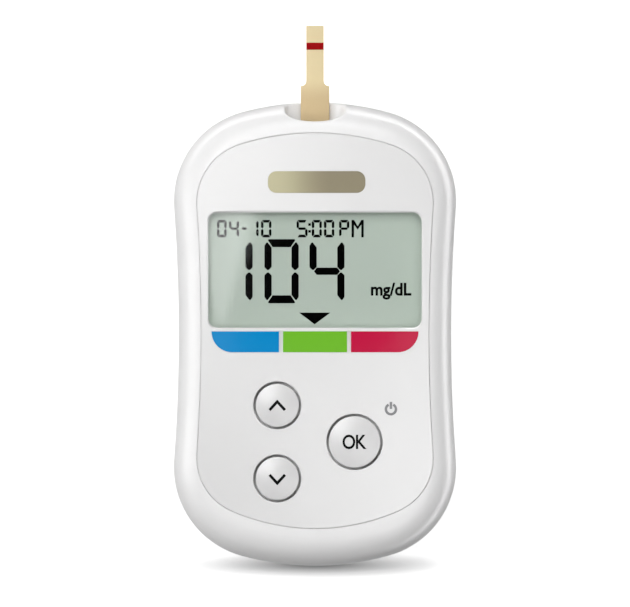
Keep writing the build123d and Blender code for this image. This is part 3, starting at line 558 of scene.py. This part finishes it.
def mark(name, shapes, height, thickness, finish, body, longest=None):
    """Flat shapes as one thin solid that lies on the face whose height function is given.

    longest is the greatest edge length, so that a mark on a curved face follows it."""
    work = bmesh.new()
    for points, faces in shapes:
        corners = [work.verts.new((p[0], p[1], 0)) for p in points]
        for face in faces:
            work.faces.new([corners[i] for i in face])
    bmesh.ops.remove_doubles(work, verts=work.verts, dist=MERGE_DISTANCE)
    if longest:
        split_long_edges(work, longest)
    bmesh.ops.recalc_face_normals(work, faces=work.faces)
    if sum(f.normal.z * f.calc_area() for f in work.faces) < 0:
        bmesh.ops.reverse_faces(work, faces=work.faces)
    grown = bmesh.ops.extrude_face_region(work, geom=list(work.faces))["geom"]
    upper = {v for v in grown if isinstance(v, bmesh.types.BMVert)}
    for v in work.verts:
        v.co.z = height(v.co.x, v.co.y) + (thickness if v in upper else 0)
    bmesh.ops.recalc_face_normals(work, faces=work.faces)
    data = bpy.data.meshes.new(name)
    work.to_mesh(data)
    work.free()
    return finished_piece(name, data, finish, body)


# ------------------------------------------------------------------ places on the face

# The reference view looks straight down at the face. Columns and rows are in its pixels.
IMAGE_WIDTH = 630
IMAGE_HEIGHT = 607
PIXELS_PER_MM = 5.384
MIDDLE_COLUMN = 315.0
MIDDLE_ROW = 334.0

READING_ROWS = (239.4, 303.3)
READING_DIGITS = (("1", 219.0, 252.9), ("0", 264.6, 298.8), ("4", 309.5, 344.4))
SMALL_ROWS = (220.2, 237.6)
SMALL_DIGITS = (
    ("0", 217.3, 227.0),
    ("4", 229.3, 239.3),
    ("-", 240.3, 249.0),
    ("1", 248.0, 258.8),
    ("0", 261.2, 271.6),
    ("5", 296.6, 307.6),
    ("0", 311.8, 321.8),
    ("0", 323.9, 334.2),
    ("P", 339.0, 349.2),
)
LETTER_M_COLUMNS = (351.4, 363.6)
COLON_COLUMN = 309.6
COLON_ROWS = (224.8, 231.6)
POINTER_CORNERS = ((299.2, 312.6), (314.6, 324.3), (330.4, 312.6))
UNIT_PLACE = (390.9, 291.2)
POWER_PLACE = (390.5, 408.6)
BAND_ROWS = (43.1, 50.2)
GLARE_CORNERS = ((206, 205), (257, 205), (223.5, 326), (218, 326), (207, 270))


def across(column):
    """X in metres of a column of the reference view."""
    return (column - MIDDLE_COLUMN) / PIXELS_PER_MM * MM


def up(row):
    """Y in metres of a row of the reference view."""
    return (MIDDLE_ROW - row) / PIXELS_PER_MM * MM


# ------------------------------------------------------------------ display content

READING_LINE = 1.34 * MM
SMALL_LINE = 0.46 * MM
COLON_HALF = 0.24 * MM
UNIT_CAPITAL = 2.53 * MM
UNIT_WIDTH = 7.5 * MM
UNIT_BOLD = 0.03
SEGMENT_THICKNESS = 0.02 * MM

SEGMENTS = {  # the dark segments of each sign, a to f clockwise from the top and g in the middle
    "0": "abcdef",
    "1": "bc",
    "4": "bcfg",
    "5": "acdfg",
    "-": "g",
    "P": "abefg",
}

# Corners of a segment at one of its ends, in shares of its width.
SIDE_OUTER_END = ((0, 0.9), (0.3, 0.45), (0.45, 0.45), (1, 1.15))  # inward, towards the middle
SIDE_INNER_END = ((1, 0.6), (0.6, 0.17), (0.4, 0.17), (0, 0.55))  # inward, away from the middle
LEVEL_END = ((0.6, 0), (0.48, 0.15), (1.12, 1.1))  # along, inward
MIDDLE_END = ((1.0, 0.5), (0.62, 0.0), (1.0, -0.5))  # along, up
SHOULDER_DROP = 1.9  # of the letter M, in shares of its line's width
NOTCH_DROP = 0.4


def digit(symbol, left, bottom, right, top, width):
    """A seven-segment digit inside a box, as a list of shapes with mitred or pointed ends."""
    middle = (bottom + top) / 2

    def side_segment(x, inward, end):
        """Segment with its outer edge at x, from an end of the digit to near its middle."""
        way = 1 if middle > end else -1
        outer = [(x + inward * a * width, end + way * b * width) for a, b in SIDE_OUTER_END]
        inner = [(x + inward * a * width, middle - way * b * width) for a, b in SIDE_INNER_END]
        return outer + inner

    def level_segment(corners, y, way):
        """Segment from the left to the right of the digit at height y."""
        one = [(left + a * width, y + way * b * width) for a, b in corners]
        other = [(right - a * width, y + way * b * width) for a, b in reversed(corners)]
        return one + other

    shapes = {
        "a": level_segment(LEVEL_END, top, -1),
        "b": side_segment(right, -1, top),
        "c": side_segment(right, -1, bottom),
        "d": level_segment(LEVEL_END, bottom, 1),
        "e": side_segment(left, 1, bottom),
        "f": side_segment(left, 1, top),
        "g": level_segment(MIDDLE_END, middle, 1),
    }
    return [outline(shapes[letter]) for letter in SEGMENTS[symbol]]


def digits(places, rows, width):
    """Shapes of the digits between two rows, from the left and the right column of each."""
    top, bottom = up(rows[0]), up(rows[1])
    shapes = []
    for symbol, left, right in places:
        shapes += digit(symbol, across(left), bottom, across(right), top, width)
    return shapes


def letter_m(columns, rows, width):
    """An M between two columns and two rows, with its middle drawn in to half its height."""
    left, right = across(columns[0]), across(columns[1])
    top, bottom = up(rows[0]), up(rows[1])
    middle = (left + right) / 2
    notch = (bottom + top) / 2
    shoulder = top - SHOULDER_DROP * width
    return outline(
        [
            (left, bottom),
            (left, top),
            (left + width, top),
            (middle, notch + width),
            (right - width, top),
            (right, top),
            (right, bottom),
            (right - width, bottom),
            (right - width, shoulder),
            (middle, notch - NOTCH_DROP * width),
            (left + width, shoulder),
            (left + width, bottom),
        ]
    )


def colon(column, rows, half):
    """Two square dots."""
    x = across(column)
    return [rectangle(x - half, up(row) - half, x + half, up(row) + half) for row in rows]


def display_mark(name, shapes):
    """Something that the display shows."""
    film_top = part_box("lcd_front_polarizer")[1].z
    mark(name, shapes, flat_at(film_top), SEGMENT_THICKNESS, display_black, "housing")


display_mark("reading_digits", digits(READING_DIGITS, READING_ROWS, READING_LINE))
small = digits(SMALL_DIGITS, SMALL_ROWS, SMALL_LINE)
small.append(letter_m(LETTER_M_COLUMNS, SMALL_ROWS, SMALL_LINE))
small += colon(COLON_COLUMN, COLON_ROWS, COLON_HALF)
display_mark("date_and_time", small)
display_mark("range_pointer", [outline([(across(column), up(row)) for column, row in POINTER_CORNERS])])
unit = words("mg/dL", UNIT_CAPITAL, UNIT_WIDTH, UNIT_BOLD)
display_mark("unit_text", [moved(unit, across(UNIT_PLACE[0]), up(UNIT_PLACE[1]))])

# ------------------------------------------------------------------ prints

INK_THICKNESS = 0.012 * MM
FACE_RADIUS = 3.0
FACE_PRINT_EDGE = 0.5 * MM
KEY_PRINT_EDGE = 0.3 * MM
KEY_RADII = {"up_button": 3.95 * MM, "down_button": 3.95 * MM, "ok_button": 4.725 * MM}
KEY_RISE = 0.5 * MM  # of a key's middle over its edge
CHEVRON_HALF = 1.43 * MM
CHEVRON_RISE = 0.78 * MM
CHEVRON_LINE = 0.52 * MM
CHEVRON_DROP = 0.1 * MM
OK_CAPITAL = 2.8 * MM
OK_WIDTH = 4.45 * MM
OK_BOLD = 0.017
OK_SPACING = 0.9
POWER_RADIUS = 0.93 * MM
POWER_LINE = 0.46 * MM
POWER_OPENING = (117, 423)  # degrees at which the ring starts and ends
POWER_STEPS = 32
POWER_BAR = (0.05 * MM, 1.36 * MM)  # the bar's ends above the ring's middle
BAND_HALF = 1.6 * MM


def key_mark(name, key, shape, body):
    """A print on a key's domed top. Its shape is given round the key's middle."""
    x, y = middle_of(key)
    height = crowned(x, y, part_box(key)[1].z, crown_radius(KEY_RADII[key], KEY_RISE))
    mark(name, [moved(shape, x, y)], height, INK_THICKNESS, print_black, body, KEY_PRINT_EDGE)


def chevron(way):
    """A chevron that points up, for 1, or down, for -1."""
    foot = -way * CHEVRON_RISE
    points = [(-CHEVRON_HALF, foot), (0, way * CHEVRON_RISE), (CHEVRON_HALF, foot)]
    return moved(stroke(points, CHEVRON_LINE), 0, -CHEVRON_DROP)


def power_symbol():
    """An open ring with a bar in its opening, printed on the faceplate."""
    x, y = across(POWER_PLACE[0]), up(POWER_PLACE[1])
    ring = stroke(arc(x, y, POWER_RADIUS, *POWER_OPENING, POWER_STEPS), POWER_LINE)
    bar = stroke([(x, y + end) for end in POWER_BAR], POWER_LINE)
    shapes = [ring, bar]
    height = crowned(0, 0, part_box("faceplate")[1].z, FACE_RADIUS)
    mark("power_symbol", shapes, height, INK_THICKNESS, print_grey, "housing", FACE_PRINT_EDGE)


def strip_band():
    """The red band across the test strip."""
    band = rectangle(-BAND_HALF, up(BAND_ROWS[1]), BAND_HALF, up(BAND_ROWS[0]))
    height = flat_at(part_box("test_strip")[1].z)
    mark("strip_red_band", [band], height, INK_THICKNESS, print_red, "strip")


key_mark("up_chevron", "up_button", chevron(1), "up_key")
key_mark("down_chevron", "down_button", chevron(-1), "down_key")
key_mark("ok_letters", "ok_button", words("OK", OK_CAPITAL, OK_WIDTH, OK_BOLD, OK_SPACING), "ok_key")
power_symbol()
strip_band()

# ------------------------------------------------------------------ screws

SCREW_PLACES = (
    (16.5 * MM, 30.5 * MM),
    (-16.5 * MM, 30.5 * MM),
    (18.5 * MM, -26.0 * MM),
    (-18.5 * MM, -26.0 * MM),
)
HEAD_RADIUS = 1.8 * MM
HEAD_HEIGHT = 1.3 * MM
HEAD_CHAMFER = 0.4 * MM
SHANK_RADIUS = 0.95 * MM
TIP_CHAMFER = 0.4 * MM
THREAD_PITCH = 0.6 * MM
THREAD_DEPTH = 0.16 * MM
THREAD_STEPS = 6
DRIVE_RADIUS = 0.8 * MM
DRIVE_LOBE = 0.13 * MM
DRIVE_LOBES = 6
DRIVE_DEPTH = 0.85 * MM
DRIVE_TAPER = 0.94
DRIVE_POINT = 0.1 * MM
SIDES = 48


def turned_shape(x, y, rings, start_height, end_height):
    """Vertices and faces of a closed shape round an upright line at x, y.

    Each ring is a function that gives its radius and height for a turn in radians. The first and
    the last ring close in a point on the line."""
    vertices = []
    for ring in rings:
        for k in range(SIDES):
            turn = 2 * pi * k / SIDES
            radius, height = ring(turn)
            vertices.append((x + radius * cos(turn), y + radius * sin(turn), height))
    start = len(vertices)
    end = start + 1
    vertices += [(x, y, start_height), (x, y, end_height)]
    last = (len(rings) - 1) * SIDES
    faces = []
    for near in range(0, last, SIDES):
        far = near + SIDES
        for k in range(SIDES):
            after = (k + 1) % SIDES
            faces.append((near + k, far + k, far + after, near + after))
    for k in range(SIDES):
        after = (k + 1) % SIDES
        faces.append((start, k, after))
        faces.append((end, last + after, last + k))
    return vertices, faces


def drive_radius(turn):
    """Radius of the six-lobed drive."""
    return DRIVE_RADIUS + DRIVE_LOBE * cos(DRIVE_LOBES * turn)


def screw_rings(bottom, top):
    """The rings of one screw, from its tip to the floor of its drive."""
    seat = bottom + HEAD_HEIGHT
    start = top - TIP_CHAMFER
    rings = [lambda turn: (SHANK_RADIUS - TIP_CHAMFER, top)]
    steps = round((start - seat - THREAD_PITCH) / (THREAD_PITCH / THREAD_STEPS))
    for i in range(steps + 1):
        level = start - i * THREAD_PITCH / THREAD_STEPS
        run_out = min(1.0, i / THREAD_STEPS, (steps - i) / THREAD_STEPS)

        def thread(turn, height=level, fade=run_out):
            """A ring of the thread, which fades out at both its ends."""
            phase = (height / THREAD_PITCH - turn / (2 * pi)) % 1
            return SHANK_RADIUS - THREAD_DEPTH * fade * (1 - abs(2 * phase - 1)), height

        rings.append(thread)
    rings.append(lambda turn: (SHANK_RADIUS, seat))
    rings.append(lambda turn: (HEAD_RADIUS, seat))
    rings.append(lambda turn: (HEAD_RADIUS, bottom + HEAD_CHAMFER))
    rings.append(lambda turn: (HEAD_RADIUS - HEAD_CHAMFER, bottom))
    rings.append(lambda turn: (drive_radius(turn), bottom))
    rings.append(lambda turn: (DRIVE_TAPER * drive_radius(turn), bottom + DRIVE_DEPTH))
    return rings


def screws():
    """The four housing screws, with threads and six-lobed drives."""
    low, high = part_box("housing_screws")
    rings = screw_rings(low.z, high.z)
    drive_end = low.z + DRIVE_DEPTH + DRIVE_POINT
    vertices = []
    faces = []
    for x, y in SCREW_PLACES:
        first = len(vertices)
        screw_vertices, screw_faces = turned_shape(x, y, rings, high.z, drive_end)
        vertices += screw_vertices
        faces += [tuple(first + corner for corner in face) for face in screw_faces]
    made = mesh_piece("threaded_screws", vertices, faces, steel, "housing")
    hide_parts("housing_screws")


screws()

# ------------------------------------------------------------------ snap domes and coin cell

DOME_SHEET = 0.12 * MM
DOME_FOOT = 0.4 * MM
DOME_STEPS = 12
DOME_SHARP = 50
DIMPLE_RADIUS = 0.6 * MM
DIMPLE_DEPTH = 0.04 * MM
SIGN_ARM = 1.7 * MM
SIGN_HALF_LINE = 0.3 * MM
SIGN_OFFSET = 6.2 * MM
SIGN_THICKNESS = 0.01 * MM


def snap_dome(name, node):
    """A sprung sheet dome with a dimple in its middle."""
    low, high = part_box(node)
    x, y = middle_of(node)
    outer = (high.x - low.x) / 2
    inner = outer - DOME_FOOT
    rise = high.z - low.z - DOME_SHEET
    outer_arc = crown_radius(outer, rise)
    inner_arc = crown_radius(inner, rise)
    profile = []
    for i in range(1, DOME_STEPS + 1):
        radius = outer * i / DOME_STEPS
        dimple = DIMPLE_DEPTH * max(0.0, 1 - (radius / DIMPLE_RADIUS) ** 2)
        profile.append((radius, high.z - outer_arc + sqrt(outer_arc**2 - radius**2) - dimple))
    profile.append((outer, low.z))
    for i in range(DOME_STEPS, 0, -1):
        radius = inner * i / DOME_STEPS
        profile.append((radius, high.z - DOME_SHEET - inner_arc + sqrt(inner_arc**2 - radius**2)))
    rings = [lambda turn, point=point: point for point in profile]
    dimple_top = high.z - DIMPLE_DEPTH
    dimple_bottom = high.z - DOME_SHEET - DIMPLE_DEPTH
    vertices, faces = turned_shape(x, y, rings, dimple_top, dimple_bottom)
    made = mesh_piece(name, vertices, faces, steel, "housing", DOME_SHARP)
    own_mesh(made)
    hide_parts(node)


def plus_shape(arm, half_line):
    """A plus sign round the origin."""
    return outline(
        [
            (half_line, half_line),
            (arm, half_line),
            (arm, -half_line),
            (half_line, -half_line),
            (half_line, -arm),
            (-half_line, -arm),
            (-half_line, -half_line),
            (-arm, -half_line),
            (-arm, half_line),
            (-half_line, half_line),
            (-half_line, arm),
            (half_line, arm),
        ]
    )


def cell_sign():
    """The plus sign on the coin cell's outward face."""
    x, y = middle_of("coin_cell")
    sign = moved(plus_shape(SIGN_ARM, SIGN_HALF_LINE), x, y + SIGN_OFFSET)
    height = flat_at(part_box("coin_cell")[0].z - SIGN_THICKNESS)
    mark("cell_plus_sign", [sign], height, SIGN_THICKNESS, print_black, "housing")


snap_dome("up_snap_dome", "up_dome")
snap_dome("down_snap_dome", "down_dome")
snap_dome("ok_snap_dome", "ok_dome")
cell_sign()

# ------------------------------------------------------------------ floor

FLOOR_HALF_SIDE = 3.0
FLOOR_SHOWN = 0.55
FLOOR_GLOW = 0.82
FLOOR_BOUNCE = 0.4
# The floor as reflections see it: dimmer near the meter, as painted shade, and brighter in bands of painted
# glow further out, listed below as cards.
FLOOR_MIRRORED = 0.8
MIRRORED_GLOW_BANDS = (  # axis, where a card starts, where it is full, and its strength
    ("X", 40 * MM, 66 * MM, 5.0),
    ("X", 76 * MM, 136 * MM, 3.0),
    ("Y", 57 * MM, 83 * MM, 2.0),
    ("Y", 93 * MM, 153 * MM, 7.0),
)
# A painted shadow: in a flat ellipse at the meter's bottom end, and under the meter, the floor's glow is
# taken away.
SHADOW_HALF_WIDTH = 25 * MM
SHADOW_HALF_LENGTH = 2.2 * MM
SHADOW_Y = -43.3 * MM  # the shadow lies at the meter's bottom end
SHADOW_DEEPEST = 0.14  # in half sizes of the shadow, from its middle
SHADOW_END = 1.15
COVERED_HALF_WIDTH = 25.2 * MM
COVERED_HALF_LENGTH = 43.0 * MM
COVERED_EDGE = 0.8  # of the sum that is 1 on the meter's outline
LIFT_START = 0.1  # where the floor starts to rise to full white, in metres from the meter's middle
LIFT_END = 0.5


def flat_object(name, points, faces, finish):
    """A flat mesh of the studio."""
    data = bpy.data.meshes.new(name)
    data.from_pydata(points, [], faces)
    data.materials.append(finish)
    return new_object(name, data)


def diffuse(tree, grey):
    """A matt shader."""
    return add_node(tree, "ShaderNodeBsdfDiffuse", {"Color": (grey, grey, grey, 1)}).outputs[0]


def mirrored_painted_glow(tree):
    """Strength of the floor's mirror image: a painted glow that only reflections see, dim near the meter
    and bright in bands beyond the right side and the top end, for painted highlights on the rims.
    """
    sides = coordinates(tree)
    strength = FLOOR_MIRRORED
    for axis, start, full, added in MIRRORED_GLOW_BANDS:
        card = ramp(tree, sides[axis], start, full, 0.0, added, kind="SMOOTHSTEP")
        strength = maths(tree, "ADD", strength, card)
    return strength


def beside_meter(tree):
    """0 on the floor below the meter and 1 beside it, so that the floor's glow is taken away under the
    meter as painted shade.
    """
    sides = coordinates(tree)
    fourths = []
    for axis, half in (("X", COVERED_HALF_WIDTH), ("Y", COVERED_HALF_LENGTH)):
        share = maths(tree, "DIVIDE", sides[axis], half)
        square = maths(tree, "MULTIPLY", share, share)
        fourths.append(maths(tree, "MULTIPLY", square, square))
    return ramp(tree, maths(tree, "ADD", *fourths), COVERED_EDGE, 1.0, kind="SMOOTHSTEP")


def floor_glow(tree):
    """Strength of the floor's own glow.

    There is none under the meter and little in a painted shadow at its bottom end, a flat ellipse where the
    glow is taken away; it is most far away."""
    scale = (1 / SHADOW_HALF_WIDTH, 1 / SHADOW_HALF_LENGTH, 1)
    offset = (0, -SHADOW_Y / SHADOW_HALF_LENGTH, 0)
    inputs = {"Vector": place(tree), "Location": offset, "Scale": scale}
    away = length(tree, add_node(tree, "ShaderNodeMapping", inputs).outputs[0])
    painted_shadow = ramp(tree, away, SHADOW_DEEPEST, SHADOW_END, 0.0, FLOOR_GLOW)
    clear = maths(tree, "MULTIPLY", painted_shadow, beside_meter(tree))
    lift = ramp(tree, length(tree, place(tree)), LIFT_START, LIFT_END, 0.0, 1 - FLOOR_GLOW)
    return maths(tree, "ADD", clear, lift)


def studio_floor():
    """White floor that keeps the meter's shadow, deepened by a painted shadow at its bottom end and under
    it. It bounces less light than it shows.
    """
    made, tree = material("studio_floor")
    rays = add_node(tree, "ShaderNodeLightPath").outputs
    seen = {0: diffuse(tree, FLOOR_SHOWN), 1: emission(tree, floor_glow(tree))}
    bright = add_node(tree, "ShaderNodeAddShader", seen).outputs[0]
    bounced = diffuse(tree, FLOOR_BOUNCE)
    mirrored = emission(tree, mirrored_painted_glow(tree))
    unlike_camera = blend(tree, rays["Is Glossy Ray"], bounced, mirrored)
    direct = maths(tree, "MAXIMUM", rays["Is Camera Ray"], rays["Is Transmission Ray"])
    finish_material(tree, blend(tree, direct, unlike_camera, bright))
    half = FLOOR_HALF_SIDE
    corners = [(-half, -half, 0), (half, -half, 0), (half, half, 0), (-half, half, 0)]
    floor = flat_object("floor", *outline(corners), made)


studio_floor()

# ------------------------------------------------------------------ light and camera

AMBIENT = 0.04
AMBIENT_FULL = cos(radians(38))  # height of a direction 38 degrees from the zenith
AMBIENT_GONE = cos(radians(20))
CAMERA_HEIGHT = 1.2
CARD_HEIGHT = 2.0
GLARE = 4.6
SHEEN_MOST = 3.7
SHEEN_CORNER = 95 * MM
SHEEN_HALF_SIDE = 0.2
SHEEN_HOLE_HALF_WIDTH = 58 * MM
SHEEN_HOLE_LOW = -26 * MM
SHEEN_HOLE_HIGH = 60 * MM
FACE_PLANE = 9 * MM  # the height at which the reference view's scale holds
SENSOR_WIDTH = 36
CLIP_START = 0.01
CLIP_END = 10
LAMPS = (  # name, azimuth, elevation, distance, width, height, radiance
    ("key_softbox", 135, 70, 0.6, 0.24, 0.2, 7.9),
    ("front_right_softbox", 315, 70, 0.6, 0.24, 0.2, 3.5),
    ("back_softbox", 90, 54, 0.6, 0.24, 0.2, 6.0),
    ("near_right_softbox", 0, 54, 0.2, 0.08, 0.07, 3.0),
    ("left_softbox", 180, 36, 0.6, 0.3, 0.2, 3.5),
    ("low_left_softbox", 180, 18, 0.6, 0.3, 0.2, 4.8),
    ("top_edge_strip", 90, 3, 0.6, 0.3, 0.05, 10.0),
    ("right_edge_strip", 0, 3, 0.6, 0.3, 0.05, 3.9),
)


def softbox(name, azimuth, elevation, distance, width, height, radiance):
    """A rectangular lamp that faces the meter. Azimuth is counted from +X towards +Y."""
    lamp = bpy.data.lights.new(name, "AREA")
    lamp.shape = "RECTANGLE"
    lamp.size = width
    lamp.size_y = height
    lamp.energy = radiance * width * height * pi
    made = new_object(name, lamp)
    flat = cos(radians(elevation))
    way = Vector((flat * cos(radians(azimuth)), flat * sin(radians(azimuth)), sin(radians(elevation))))
    made.location = way * distance
    made.rotation_euler = way.to_track_quat("Z", "Y").to_euler()
    made.visible_camera = False


def background(tree, strength):
    """White light from the world."""
    inputs = {"Color": WHITE_LIGHT, "Strength": strength}
    return add_node(tree, "ShaderNodeBackground", inputs).outputs[0]


def studio_world():
    """Ambient light that fades out towards the zenith, and a white background."""
    world = bpy.data.worlds.new("studio")
    bpy.context.scene.world = world
    world.use_nodes = True
    tree = world.node_tree
    tree.nodes.clear()
    rays = add_node(tree, "ShaderNodeLightPath").outputs
    way = add_node(tree, "ShaderNodeTexCoord").outputs["Generated"]
    height = add_node(tree, "ShaderNodeSeparateXYZ", {0: way}).outputs["Z"]
    strength = ramp(tree, height, AMBIENT_FULL, AMBIENT_GONE, AMBIENT, 0.0, kind="SMOOTHSTEP")
    both = blend(tree, rays["Is Camera Ray"], background(tree, strength), background(tree, 1.0))
    add_node(tree, "ShaderNodeOutputWorld", {"Surface": both})


def lit_card(name, shape, strength_of):
    """A lit card above the camera, which only mirroring faces see.

    strength_of gives its strength from its material's tree."""
    made, tree = material(name)
    finish_material(tree, emission(tree, strength_of(tree)))
    points = [(x, y, CARD_HEIGHT) for x, y in shape[0]]
    card = flat_object(name, points, shape[1], made)
    card.visible_camera = False
    card.visible_diffuse = False
    card.visible_shadow = False


def glare_card():
    """The card that the window mirrors as a slanted patch of glare."""
    lens_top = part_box("display_window")[1].z
    throw = (CARD_HEIGHT - lens_top) / (CAMERA_HEIGHT - lens_top)
    middle_y = up(IMAGE_HEIGHT / 2)
    points = []
    for column, row in GLARE_CORNERS:
        x, y = across(column), up(row)
        points.append((x + x * throw, y + (y - middle_y) * throw))
    lit_card("glare_card", outline(points), lambda tree: GLARE)


def sheen_strength(tree):
    """Bright in two opposite corners of the sheen card and dark in the other two."""
    sides = coordinates(tree)
    twist = maths(tree, "MULTIPLY", sides["X"], sides["Y"])
    most = SHEEN_CORNER**2
    return ramp(tree, twist, -most, most, SHEEN_MOST, 0.0)


def sheen_card():
    """The card that shades the faceplate softly, with a hole for what the window mirrors."""
    side, hole = SHEEN_HALF_SIDE, SHEEN_HOLE_HALF_WIDTH
    outer, _ = rectangle(-side, -side, side, side)
    inner, _ = rectangle(-hole, SHEEN_HOLE_LOW, hole, SHEEN_HOLE_HIGH)
    faces = [(k, (k + 1) % 4, 4 + (k + 1) % 4, 4 + k) for k in range(4)]
    lit_card("sheen_card", (outer + inner, faces), sheen_strength)


def camera():
    """Long lens, square above the meter."""
    field = IMAGE_WIDTH / PIXELS_PER_MM * MM
    data = bpy.data.cameras.new("camera")
    data.sensor_fit = "HORIZONTAL"
    data.sensor_width = SENSOR_WIDTH
    data.lens = SENSOR_WIDTH * (CAMERA_HEIGHT - FACE_PLANE) / field
    data.clip_start = CLIP_START
    data.clip_end = CLIP_END
    made = new_object("camera", data)
    made.location = (across(IMAGE_WIDTH / 2), up(IMAGE_HEIGHT / 2), CAMERA_HEIGHT)
    bpy.context.scene.camera = made


studio_world()
glare_card()
sheen_card()
for lamp in LAMPS:
    softbox(*lamp)
camera()
bpy.context.scene.view_settings.view_transform = "Standard"
